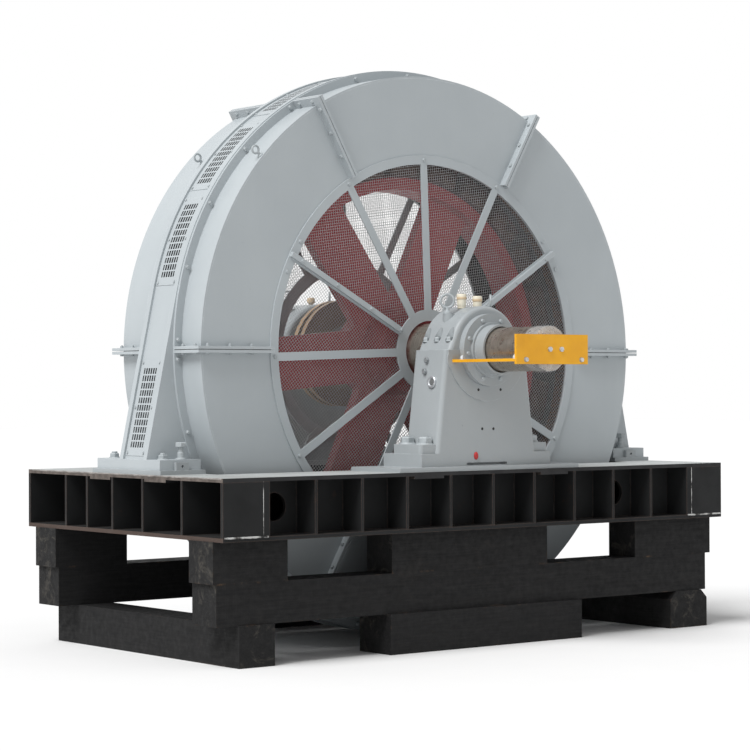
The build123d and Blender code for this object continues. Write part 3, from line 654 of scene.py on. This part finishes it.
def fixing_tree():
    """Bolts, nuts and screws at marked points: washer, head with a chamfer, and a stud end."""
    parts = ("Washer", "Head", "Stud")
    tree = Tree("set_fixings", [part + size for part in parts for size in (" Width", " Height")],
                counts=["Head Sides"], choices=["Has Stud"])

    def drum(label, sides, base, steps):
        """Closed drum of a named width and height on a base, with the rim of its top bevelled."""
        height = tree.given(label + " Height")
        made = tree.add("GeometryNodeMeshCylinder", {
            "Vertices": sides, "Side Segments": steps, "Depth": height,
            "Radius": tree.times(tree.given(label + " Width"), 0.5)})
        rim = tree.add("GeometryNodeScaleElements", {
            "Geometry": made["Mesh"], "Scale": 0.86, "Selection": made["Top"]})[0]
        middle = tree.math("ADD", base, tree.times(height, 0.5))
        return tree.add("GeometryNodeTransform", {
            "Geometry": rim, "Translation": tree.vector(z=middle)})[0]

    sunk = 0.0003
    washer_top = tree.math("SUBTRACT", tree.given("Washer Height"), 2 * sunk)
    head_h = tree.math("SUBTRACT", tree.given("Head Height"), sunk)
    head_top = tree.math("ADD", washer_top, head_h)
    washer = drum("Washer", 20, -sunk, 1)
    head = drum("Head", tree.given("Head Sides"), washer_top, 5)
    stud = tree.add("GeometryNodeSwitch", {"Switch": tree.given("Has Stud"),
                                           "True": drum("Stud", 12, head_top, 3)},
                    input_type="GEOMETRY")[0]
    return tree.close(tree.placed(tree.joined((washer, head, stud))))


def bar_tree():
    """Flat bars at marked points, thickness along each point's way."""
    tree = Tree("set_bars", ["Length", "Width", "Thickness"])
    size = tree.vector(tree.given("Width"), tree.given("Length"), tree.given("Thickness"))
    return tree.close(tree.placed(tree.add("GeometryNodeMeshCube", {"Size": size})[0]))


def ring_of_tree():
    """Copies of a shape turned in equal steps round the shaft line."""
    tree = Tree("repeat_round_shaft", counts=["Count"])
    count = tree.given("Count")
    line = tree.add("GeometryNodeMeshLine", {
        "Count": count, "Offset": (0, 0, 0), "Start Location": drawn(0, 0, AXIS_Z)})[0]
    index = tree.add("GeometryNodeInputIndex")[0]
    step = tree.math("DIVIDE", 2 * pi, count)
    placed = tree.add("GeometryNodeInstanceOnPoints", {
        "Points": line, "Instance": tree.given("Geometry"),
        "Rotation": tree.vector(y=tree.times(index, step))})[0]
    return tree.close(placed)


def woven_tree():
    """Woven wire in a ring-shaped opening: wires cross over and under, and end under the rims.

    The wires lie in the XY plane. Two slanting split bars part the opening, and above
    and below them the weave has its own turn.
    """
    tree = Tree("woven_wire", ["Outer Radius", "Inner Radius", "Pitch", "Wire Width", "Upper Turn",
                               "Lower Turn", "Split Slope", "Lap"])
    math, times = tree.math, tree.times
    pitch, outer = tree.given("Pitch"), tree.given("Outer Radius")

    # a grid of wires, with some to spare
    half_count = math("CEIL", math("DIVIDE", math("ADD", outer, times(pitch, 2.0)), pitch))
    count = math("ADD", times(half_count, 2.0), 1.0)
    span = times(times(half_count, 2.0), pitch)
    grid = tree.add("GeometryNodeMeshGrid", {
        "Size X": span, "Size Y": span, "Vertices X": count, "Vertices Y": count})[0]
    x, y, z = tree.split(tree.add("GeometryNodeInputPosition")[0])
    cells = [math("ROUND", math("DIVIDE", value, pitch)) for value in (x, y)]
    odd = math("FLOORED_MODULO", math("ADD", *cells), 2.0)
    lift = times(math("SUBTRACT", odd, 0.5), tree.given("Wire Width"))
    ends = tree.add("GeometryNodeInputMeshEdgeVertices")
    gap = tree.vector_math("SUBTRACT", ends["Position 1"], ends["Position 2"])["Vector"]
    gap_parts = tree.split(gap)

    # what lies past the rims, and the wires' last points drawn in to the outer one
    radius = math("SQRT", math("ADD", times(x, x), times(y, y)))
    past = math("GREATER_THAN", radius, math("ADD", outer, times(pitch, 0.99)))
    inside = math("LESS_THAN", radius, tree.given("Inner Radius"))
    split_y = times(math("ABSOLUTE", x), tree.given("Split Slope"))
    over_line = math("SUBTRACT", y, split_y)
    under_lap = times(tree.given("Lap"), -1.0)
    shrink = math("MINIMUM", 1.0, math("DIVIDE", outer, math("MAXIMUM", radius, 0.001)))
    trimmed_to = tree.vector(times(x, shrink), times(y, shrink), z)

    wires = []
    for part, part_side in (("Upper Turn", 1.0), ("Lower Turn", -1.0)):
        outside = math("LESS_THAN", times(over_line, part_side), under_lap)
        drop = math("GREATER_THAN", math("ADD", math("ADD", past, inside), outside), 0.5)
        for axis, weave_side in ((1, 1.0), (0, -1.0)):
            across = math("GREATER_THAN", math("ABSOLUTE", gap_parts[axis]), 0.0001)
            one_way = tree.add("GeometryNodeDeleteGeometry", {
                "Geometry": grid, "Selection": across}, domain="EDGE", mode="EDGE_FACE")[0]
            weave = tree.add("GeometryNodeSetPosition", {
                "Geometry": one_way, "Offset": tree.vector(z=times(lift, weave_side))})[0]
            turned = tree.add("GeometryNodeTransform", {
                "Geometry": weave, "Rotation": tree.vector(z=tree.given(part))})[0]
            cut = tree.add("GeometryNodeDeleteGeometry", {
                "Geometry": turned, "Selection": drop}, domain="POINT", mode="ALL")[0]
            trimmed = tree.add("GeometryNodeSetPosition", {
                "Geometry": cut, "Position": trimmed_to})[0]
            curve = tree.add("GeometryNodeMeshToCurve", {"Mesh": trimmed})[0]
            wires.append(tree.round_bar(curve, "Wire Width", 3))
    return tree.close(tree.joined(wires))


def bead_tree():
    """Weld bead along drawn lines: a small round run with an uneven surface."""
    tree = Tree("weld_bead", ["Bead Width", "Ripple", "Step"])
    curve = tree.add("GeometryNodeMeshToCurve", {"Mesh": tree.given("Geometry")})[0]
    even = tree.add("GeometryNodeResampleCurve", {
        "Curve": curve, "Length": tree.given("Step")}, mode="LENGTH")[0]
    tube = tree.round_bar(even, "Bead Width", 6)
    lumps = tree.add("ShaderNodeTexNoise", {"Scale": 90.0, "Detail": 2.0})["Fac"]
    push = tree.add("ShaderNodeVectorMath", {
        "Vector": tree.add("GeometryNodeInputNormal")[0],
        "Scale": tree.times(tree.math("SUBTRACT", lumps, 0.5), tree.given("Ripple"))},
        operation="SCALE")[0]
    return tree.close(tree.add("GeometryNodeSetPosition", {"Geometry": tube, "Offset": push})[0])


set_fixings = fixing_tree()
set_bars = bar_tree()
repeat_round_shaft = ring_of_tree()
woven_wire = woven_tree()
weld_bead = bead_tree()

HEX = 1 / cos(pi / 6)


def fixings(name, places, flats, head, washer=0, washer_h=0, stud=0, stud_h=0, sides=6,
            finish=bolt_painted, body="stator"):
    """A set of equal bolts, nuts or screws. Sizes in millimetres, the head across its flats."""
    sizes = {"Washer Width": washer or flats * 0.9, "Washer Height": max(washer_h, 0.6),
             "Head Width": flats * HEX if sides == 6 else flats, "Head Height": head,
             "Stud Width": stud, "Stud Height": max(stud_h, 0.1)}
    return laid_out(name, marked_points(places), set_fixings, sizes, finish, body, smooth=30,
                    other={"Head Sides": sides, "Has Stud": stud > 0})


# covers: bolts of the flanges and of the joints between segments

FORWARD = (0, -1, 0)
BACKWARD = (0, 1, 0)
UP = (0, 0, 1)
JOINTS = range(0, 360, 60)
FLANGE_BOLT_R = 1510
FLANGE_BOLT_STEPS = (1.9, 16.2, 30, 43.8, 58.1)
FLANGE_FACES = {"front": (FRAME_FRONT - FLANGE_T, FORWARD),
                "rear": (FRAME_REAR + FLANGE_T, BACKWARD)}

for end, (face, way) in FLANGE_FACES.items():
    places = [(around(joint + step, FLANGE_BOLT_R, face), way)
              for joint in JOINTS for step in FLANGE_BOLT_STEPS]
    fixings("cover_flange_bolts_" + end, places, 19, 9, washer=28, washer_h=2.5)

# radius and place along the shaft of each bolt in a joint
JOINT_BOLTS = {
    "front": ((1461, -385), (1323, -385), (1188, -385), (1509, -345), (1509, -235)),
    "rear": ((1461, 385), (1323, 385), (1188, 385), (1509, 345), (1509, 240), (1509, 135))}

for end, spots in JOINT_BOLTS.items():
    heads, nuts = [], []
    for joint in JOINTS:
        side = Vector(sideways(joint))
        for radius, y in spots:
            centre = Vector(around(joint, radius, y))
            heads.append((tuple(centre + side * JOINT_HALF), tuple(side)))
            nuts.append((tuple(centre - side * JOINT_HALF), tuple(-side)))
    fixings("cover_joint_bolts_" + end, heads, 18, 8, washer=24, washer_h=2)
    fixings("cover_joint_nuts_" + end, nuts, 18, 9, washer=24, washer_h=2, stud=11, stud_h=4)

# wire guards: screws of the ring and of the split bars, and the woven wire

GUARD_TURN = 2
STRAP_ANGLES = [GUARD_TURN + 30 * k for k in range(12)]
SPLITS = (30 + GUARD_TURN, 150 + GUARD_TURN)
SPLIT_SCREW_STEP = 5
GUARD_RING_R = 1035
GUARD_RING_T, SPLIT_PROUD = 8, 30
NETTING_R = 1016
NETTING_BEHIND = 2
SPLIT_LAP = 12
WIRE = 2.3
WIRE_PITCH = 14.15
UPPER_WEAVE, LOWER_WEAVE = 6, 35.5
# side of the motor, hub ring's radius and the split screws' radii
GUARDS = {"front": (-1, 175, (985, 727, 473, 240)), "rear": (1, 465, (985, 760, 545))}

for end, (sign, hub_r, split_screws) in GUARDS.items():
    way = (0, sign, 0)
    angles = [a for a in STRAP_ANGLES if a not in SPLITS]
    angles += [a + step for a in SPLITS for step in (-SPLIT_SCREW_STEP, SPLIT_SCREW_STEP)]
    ring = [(around(a, GUARD_RING_R, sign * (COVER_FACE + GUARD_RING_T)), way) for a in angles]
    fixings("guard_ring_screws_" + end, ring, 19, 8, washer=26, washer_h=2)
    split = [(around(a, radius, sign * (COVER_FACE + SPLIT_PROUD)), way)
             for a in SPLITS for radius in split_screws]
    fixings("guard_split_screws_" + end, split, 16, 7, washer=22, washer_h=1.5)

    sizes = {"Outer Radius": NETTING_R, "Inner Radius": hub_r, "Pitch": WIRE_PITCH,
             "Wire Width": WIRE, "Lap": SPLIT_LAP}
    turns = {"Upper Turn": radians(UPPER_WEAVE), "Lower Turn": radians(LOWER_WEAVE),
             "Split Slope": tan(radians(30))}
    middle = Matrix.Translation(drawn(0, sign * (COVER_FACE - NETTING_BEHIND), AXIS_Z))
    turned = middle @ Matrix.Rotation(-radians(GUARD_TURN), 4, "Y")
    upright = turned @ Matrix.Rotation(pi / 2, 4, "X")
    netting = laid_out("guard_netting_" + end, bpy.data.meshes.new("start"), woven_wire, sizes,
                       wire_paint, "stator", smooth=60, place=upright, other=turns)
    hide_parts("guard_screen_" + end)

# frame: bars that divide the openings of the vent plates, and the plates' screws

ROLLED_VENTS = (22, 42.5, 64.5, 115.5, 137.5, 158)
LEG_VENT_DOWN = 631
LEG_VENTS = ((LEG_LEAN, -LEG_VENT_DOWN), (180 - LEG_LEAN, LEG_VENT_DOWN))
VENT_HALF_W, VENT_HALF_L = 90, 248.9
VENT_ROWS = range(-5, 6)
SLOT_PITCH, SLOT_H = 38.28, 30.63
BAR_STEPS = [21.6 * k for k in range(-2, 3)]
BAR_W, BAR_T, BAR_LAP, BAR_LIFT = 7.5, 2.4, 3, 1.5
VENT_PLATE_T = 3
VENT_SCREW_IN = 14


def vent_spots():
    """For each vent plate: a function from a spot on it to a place, with the way out."""
    for angle in ROLLED_VENTS:
        def rolled(along, across, lift, angle=angle):
            turn = angle + along / SKIN_R * 180 / pi
            return around(turn, SKIN_R + lift, FRAME_MID + across), outward(turn)
        yield rolled
    for angle, down in LEG_VENTS:
        def flat(along, across, lift, angle=angle, down=down):
            side = Vector(sideways(angle)) * (down + along)
            spot = Vector(around(angle, SKIN_R + lift, FRAME_MID + across)) + side
            return tuple(spot), outward(angle)
        yield flat


bar_spots, screw_spots = [], []
screw_l, screw_w = VENT_HALF_L - VENT_SCREW_IN, VENT_HALF_W - VENT_SCREW_IN
for spot_on in vent_spots():
    bar_spots += [spot_on(row * SLOT_PITCH, across, BAR_LIFT)
                  for row in VENT_ROWS for across in BAR_STEPS]
    screw_spots += [spot_on(along, across, VENT_PLATE_T)
                    for along in (-screw_l, 0, screw_l) for across in (-screw_w, screw_w)]
bars = {"Length": SLOT_H + BAR_LAP, "Width": BAR_W, "Thickness": BAR_T}
laid_out("vent_bars", marked_points(bar_spots), set_bars, bars, frame_paint, "stator",
         smooth=0)
fixings("vent_screws", screw_spots, 13, 5, washer=18, washer_h=1.2)

# pedestals: hold-down bolts, cap bolts in their pockets, and the shaft seal's screws

PAD_X, PAD_TOP = 367, 1067
PAD_BOLT_Y = (-82, 62)
CAP_BOLT_X = {"front": 225, "rear": 278}
CAP_BOLT_Y = (-94, 0, 94)
CAP_FLOOR = 1604

for end, sign in (("front", -1), ("rear", 1)):
    pads = [((x, sign * (PED_MID + y), PAD_TOP), UP) for x in (-PAD_X, PAD_X) for y in PAD_BOLT_Y]
    fixings("hold_down_bolts_" + end, pads, 66, 30, washer=92, washer_h=9, stud=42, stud_h=4)
    caps = [((x, sign * PED_MID + y, CAP_FLOOR), UP)
            for x in (-CAP_BOLT_X[end], CAP_BOLT_X[end]) for y in CAP_BOLT_Y]
    fixings("cap_bolts_" + end, caps, 32, 20, washer=44, washer_h=4)

SEAL_SCREW_R, SEAL_FACE = 163, -880
SEAL_SCREWS = (21, 67.2, 112.8, 158.8, 187, 248.2, 291.8, 353)
REAR_COVER_BOLT_R, REAR_COVER_FACE = 165, 912

seal = [(around(a, SEAL_SCREW_R, SEAL_FACE), FORWARD) for a in SEAL_SCREWS]
fixings("seal_screws", seal, 19, 8, washer=24, washer_h=2)
rear_cover = [(around(22.5 + 45 * k, REAR_COVER_BOLT_R, REAR_COVER_FACE), BACKWARD)
              for k in range(8)]
fixings("rear_cover_screws", rear_cover, 24, 11, washer=30, washer_h=2.5)

# feet: two bolts each, beside the tall jacking bolt

FOOT_BOLTS = ((1610, -200), (1615, 250))
JACK_X, JACK_Y = 1540, -258
JACK_STEM = [(0, -1), (29, -1), (29, 5), (18, 9), (18.5, 34), (13.5, 38), (13.5, 66), (0, 66)]
JACK_HEAD = [(0, 62), (24, 62), (31, 65), (31, 83), (25, 87), (0, 87)]

foot_bolts = [((side * x, y, FOOT_TOP), UP) for side in (-1, 1) for x, y in FOOT_BOLTS]
fixings("foot_bolts", foot_bolts, 46, 20, washer=62, washer_h=5, stud=30, stud_h=9)
jacks = Blank()
for side in (-1, 1):
    foot = standing((side * JACK_X, JACK_Y, FOOT_TOP), UP)
    jacks.turned(JACK_STEM, foot)
    jacks.turned(JACK_HEAD, foot, steps=6)
jacks.done("jacking_bolts", bolt_painted)

# fittings on the bearing housings

EYE_BOLT_TOPS = {"front": (-PED_MID, 1752), "rear": (PED_MID, 1817)}
EYE_BOLT_TURNS = {-160: -38, 140: 52}
EYE_SHANK = [(0, -4), (24, -4), (24, 5), (15, 10), (10, 18), (9, 32), (0, 32)]
EYE_HIGH, EYE_R, EYE_BAR = 66, 35, 6.3


def upright_ring(blank, stand, high, radius, bar, **steps):
    """A ring that stands on edge over a fitting."""
    centre = stand @ Matrix.Translation((0, 0, high / 1000)) @ Matrix.Rotation(pi / 2, 4, "X")
    blank.hoop(radius, bar, centre, **steps)


for end, (y, top) in EYE_BOLT_TOPS.items():
    eyes = Blank()
    for x, spin in EYE_BOLT_TURNS.items():
        boss = standing((x, y, top), UP, spin)
        eyes.turned(EYE_SHANK, boss)
        upright_ring(eyes, boss, EYE_HIGH, EYE_R, EYE_BAR)
    eyes.done("eye_bolts_" + end, bolt_painted)

BREATHER_NECK = [(0, -16), (22, -16), (22, -1), (23, 1), (23.5, 3), (23.5, 33), (0, 24)]
BREATHER_BAND = [(0, 31), (24, 31), (26, 34), (26.5, 37), (26.5, 44), (26, 46), (0, 46)]
BREATHER_LID = [(0, 44), (26.2, 44), (26.2, 56), (24, 60), (15, 61.5), (0, 62)]
BREATHERS = ((-62, -PED_MID, 1796), (48, -PED_MID, 1787))
FILLER_CAP = [(0, -4), (13, -4), (13, 8), (22, 11), (23, 15), (23, 34), (19, 40), (0, 41)]

caps, bands = Blank(), Blank()
for place in BREATHERS:
    stand = standing(place, UP)
    caps.turned(BREATHER_NECK, stand)
    caps.turned(BREATHER_LID, stand)
    bands.turned(BREATHER_BAND, stand)
caps.done("breather_caps", cream_cap)
bands.done("breather_bands", tan_band)
filler = Blank()
filler.turned(FILLER_CAP, standing((5, PED_MID, 1844), UP))
filler.done("filler_cap_rear", tan_band)

FLANK_X, FLANK_SLOPE = 278, 0.124


def flank(y, z, side=-1):
    """Place on a pedestal's sloping flank, with the way out of it."""
    return (side * (FLANK_X + FLANK_SLOPE * (AXIS_Z - z)), y, z), (side, 0, FLANK_SLOPE)


plugs = [flank(-696, 1505), flank(-688, 1446), flank(-705, 1462, 1), flank(700, 1462),
         flank(700, 1462, 1)]
fixings("flank_plugs", plugs, 27, 12, washer=34, washer_h=4, finish=screw_dull)

BEZEL = [(18, -2), (32, -2), (32, 8), (29, 11), (22, 11), (18, 6)]
SIGHT = [(0, -1), (19, -1), (19, 3), (14, 5.5), (7, 6.6), (0, 7)]

sight = standing(*flank(-753, 1390))
bezel, glass = Blank(), Blank()
bezel.turned(BEZEL, sight, steps=32, closed=True)
glass.turned(SIGHT, sight, steps=32)
bezel.done("oil_sight_bezel", bolt_zinc, "shaft_steel")
glass.done("oil_sight_glass", sight_glass, "shaft_steel")

FACE_HOLES = ((-64, -848, 1350), (90, -848, 1350), (-34, -842, 1145), (44, -842, 1144))
CABLE_PLUG = [(0, -1), (20, -1), (20, 4), (16, 7.5), (0, 8.5)]

fixings("face_holes", [(place, FORWARD) for place in FACE_HOLES], 10, 0.4, washer=16, washer_h=1.2,
        sides=16, finish=deep_shade)
plug = Blank()
oval = standing((-79, -842, 1004), FORWARD) @ Matrix.Diagonal((0.66, 1, 1, 1))
plug.turned(CABLE_PLUG, oval, steps=32)
plug.done("cable_plug", red_plug)

# lifting rings on the cover walls

LIFT_ANGLE, LIFT_Y = 137.7, (-340, 190)
LIFT_SHANK = [(0, -1), (16, -1), (16, 4), (8, 8), (8, 26), (0, 26)]
LIFT_HIGH, LIFT_R, LIFT_BAR = 42, 20, 5.5

rings = Blank()
for y in LIFT_Y:
    stand = standing(around(LIFT_ANGLE, COVER_R, y), outward(LIFT_ANGLE), 90)
    rings.turned(LIFT_SHANK, stand, steps=16)
    upright_ring(rings, stand, LIFT_HIGH, LIFT_R, LIFT_BAR, steps=28, sides=8)
rings.done("cover_lifting_rings", bolt_painted)

# rotor: field coils round the poles

POLES = 24
POLE_W = 170
POLE_FRONT, POLE_BACK = -158, 62
COIL_T, COIL_CORNER, COIL_EDGE = 22, 4, (3, 6)
COIL_LOW, COIL_HIGH = 967, 1051


def coil_shape():
    """One coil, wound round the pole at 3 o'clock, measured from the shaft line."""
    mesh = bmesh.new()
    # the coil clears the pole by 1 mm
    half_w = POLE_W / 2 + 1 - COIL_CORNER
    half_l = (POLE_BACK - POLE_FRONT) / 2 + 1 - COIL_CORNER
    mid = (POLE_BACK + POLE_FRONT) / 2
    high = COIL_HIGH - COIL_LOW
    off, drop = COIL_EDGE
    section = [(0, 0), (COIL_T - off, 0), (COIL_T, drop), (COIL_T, high - drop),
               (COIL_T - off, high), (0, high)]
    rows = []
    for quarter, (way_z, way_y) in enumerate(((1, 1), (-1, 1), (-1, -1), (1, -1))):
        for step in range(4):
            turn = pi / 2 * (quarter + step / 3)
            row = []
            for out, up in section:
                reach = COIL_CORNER + out
                y = mid + way_y * half_l + sin(turn) * reach
                z = way_z * half_w + cos(turn) * reach
                row.append(mesh.verts.new(Vector((COIL_LOW + up, y, z)) / 1000))
            rows.append(row)
    skinned(mesh, rows, closed=True)
    return kept(mesh, "coil")


laid_out("pole_coils", coil_shape(), repeat_round_shaft, {}, coil_wrap, "rotor",
         other={"Count": POLES})

# base: weld beads along the corner panels, ribs and plates

PANEL_X = 1450.5
PANEL_SEAM = PANEL_X + 30
BASE_LOW, BASE_HIGH = BASE_Z + 20, BASE_TOP - 20
BEAD_INSET = 8
LIP_X, LIP_Z, LIP_STEP = -HALF_L + 2, BASE_TOP - 3, 180
RIB_PITCH, RIB_HALF_T, RIB_INSET = 290.1, 8, 4
# each long web, with the edge of the plates before it
WEBS = ((-736, BASE_FRONT + RIB_INSET), (802, BASE_BACK - RIB_INSET))


def beads(name, lines, width, ripple, step, finish):
    """Weld beads along lines between two places on the drawing. Sizes in millimetres."""
    points = [drawn(*end) for line in lines for end in line]
    data = bpy.data.meshes.new("lines")
    data.from_pydata(points, [(2 * i, 2 * i + 1) for i in range(len(lines))], [])
    sizes = {"Bead Width": width, "Ripple": ripple, "Step": step}
    laid_out(name, data, weld_bead, sizes, finish, "stator", smooth=60)


corners = [(side, y) for y in (BASE_FRONT, BASE_BACK - BEAD_INSET) for side in (-1, 1)]
beads("base_welds", [((side * PANEL_X, y, BASE_LOW), (side * (HALF_L - BEAD_INSET), y, BASE_LOW))
                     for side, y in corners], 10, 8, 9, weld_metal)
beads("panel_welds", [((side * PANEL_SEAM, y, BASE_LOW), (side * PANEL_SEAM, y, BASE_HIGH))
                      for side, y in corners], 3.6, 5, 8, weld_metal)
beads("flame_cut_lip", [((LIP_X, y, LIP_Z), (LIP_X, y + LIP_STEP, LIP_Z))
                        for y in range(-880, 920, LIP_STEP)], 8, 5, 7, slag)
seams = []
for k in range(-5, 6):
    for side in (-1, 1):
        x = RIB_PITCH * k + side * RIB_HALF_T
        if abs(x) < PANEL_X - 20:
            seams += [((x, web, BASE_LOW), (x, web, BASE_HIGH)) for web, edge in WEBS]
            seams += [((x, web, BASE_LOW), (x, edge, BASE_LOW)) for web, edge in WEBS]
beads("rib_welds", seams, 10, 4, 14, black_paint)

# transport bracket: plated bolts in the plate and on the tie bars

PLATE_BOLTS, PLATE_BOLT_Z = (-182, 200), 1502
TIE_X, TIE_TOP, TIE_BOLT_Y = 218, 1508, (-1310, -900)

plate_washers = [((x, BRACKET_Y, PLATE_BOLT_Z), FORWARD) for x in PLATE_BOLTS]
fixings("bracket_washers", plate_washers, 20, 0.5, washer=27, washer_h=2, finish=screw_dull)
tie_bolts = [((side * TIE_X, y, TIE_TOP), UP) for side in (-1, 1) for y in TIE_BOLT_Y]
fixings("tie_bolts", tie_bolts, 24, 11, washer=34, washer_h=3, stud=16, stud_h=8, finish=bolt_zinc)

# film bag over the shaft's end, creased and held on by its own folds

SHAFT_R = 115
FILM_END, FILM_OPEN = -1333.5, -1250
FILM_GAP, FILM_T = 1.3, 0.6
FOLD_H, FOLD_SIZE = 3.6, 52
END_FOLD_H, RAGGED = 2, 9
FILM_AROUND, FILM_ALONG, FILM_ACROSS = 160, 22, 12


def creases(x, y, z):
    """0 in the hollows of the crumpled film and 1 on its folds."""
    spot = Vector((x, y, z)) / FOLD_SIZE
    coarse = 1 - min(1, 4 * abs(noise.noise(spot)))
    fine = 1 - min(1, 4 * abs(noise.noise(spot * 2.7 + Vector((5, 3, 1)))))
    return 0.6 * coarse + 0.4 * fine


def film_spot(turn, row, skin):
    """Place of one point of the film: rows run from the end's middle to the open rim."""
    x, z = cos(turn), sin(turn)
    if row <= FILM_ACROSS:
        reach = SHAFT_R * row / FILM_ACROSS
        fold = creases(reach * x, 0, reach * z)
        y = FILM_END - skin + END_FOLD_H * (0.5 - fold) * (row < FILM_ACROSS)
    else:
        share = (row - FILM_ACROSS) / FILM_ALONG
        y = FILM_END + (FILM_OPEN - FILM_END) * share
        reach = SHAFT_R + FILM_GAP + skin + FOLD_H * creases(SHAFT_R * x, y, SHAFT_R * z)
        y += RAGGED * share * creases(60 * x, 7, 60 * z)
    return drawn(reach * x, y, AXIS_Z + reach * z)


def film_bag():
    """Inner and outer skin of the film, joined along the open rim."""
    mesh = bmesh.new()
    sheets = []
    for skin in (0.0, FILM_T):
        rows = []
        for row in range(FILM_ACROSS + FILM_ALONG + 1):
            turns = [2 * pi * i / FILM_AROUND for i in range(FILM_AROUND if row else 1)]
            rows.append([mesh.verts.new(film_spot(turn, row, skin)) for turn in turns])
        sheets.append(rows)
    for rows in (*sheets, [rows[-1] for rows in sheets]):
        skinned(mesh, rows)
    return kept(mesh, "shaft_film")


dressed("shaft_film", film_bag(), clear_film, "rotor")

# camera

LENS_MM = 112.299
EYE = Vector((-8.08482, -9.9405, 1.35933))
YAW, PITCH, ROLL = 0.6678809, 0.005701, -0.0037289
forward = Vector((sin(YAW) * cos(PITCH), cos(YAW) * cos(PITCH), sin(PITCH)))
level_right = Vector((cos(YAW), -sin(YAW), 0))
level_up = level_right.cross(forward)
right = cos(ROLL) * level_right + sin(ROLL) * level_up
up = cos(ROLL) * level_up - sin(ROLL) * level_right
turn = Matrix((right, up, -forward)).transposed().to_4x4()
camera_data = bpy.data.cameras.new("camera")
camera_data.lens = LENS_MM
camera_data.sensor_width = 36
camera_data.clip_end = 200
camera = in_scene("camera", camera_data)
camera.matrix_world = Matrix.Translation(EYE) @ turn
bpy.context.scene.camera = camera

# floor and light

FLOOR_HALF = 60
floor_mesh = bmesh.new()
bmesh.ops.create_grid(floor_mesh, x_segments=1, y_segments=1, size=FLOOR_HALF)
floor_data = bpy.data.meshes.new("floor")
floor_mesh.to_mesh(floor_data)
floor_mesh.free()
floor = in_scene("floor", floor_data)
floor_look = Finish("floor_pale", specular=0.0)
floor_look.colour(floor_look.mix((0.8, 0.8, 0.8), (0.82, 0.82, 0.82), floor_look.noise(3, 2)))
floor_look.looks["Roughness"].default_value = 1.0
floor_data.materials.append(floor_look.material)

sun_data = bpy.data.lights.new("soft_sun", "SUN")
sun_data.energy = 3.1
sun_data.angle = radians(30)
sun = in_scene("soft_sun", sun_data)
sun.rotation_euler = Vector((0.595, 0.1, -0.797)).to_track_quat("-Z", "Y").to_euler()

world = bpy.data.worlds.new("sky")
world.use_nodes = True
bpy.context.scene.world = world
sky = Nodes(world.node_tree)
ray = sky.add("ShaderNodeLightPath")
seen = ray["Is Camera Ray"]
for other in ("Is Glossy Ray", "Is Transmission Ray"):
    seen = sky.math("MAXIMUM", seen, ray[other])
backdrop = sky.tree.nodes["Background"].inputs
sky.feed(sky.ranged(seen, 0.0, 1.0, 0.5, 1.0), backdrop["Strength"])
sky.feed((1, 1, 1, 1), backdrop["Color"])

bpy.context.scene.view_settings.view_transform = "Standard"
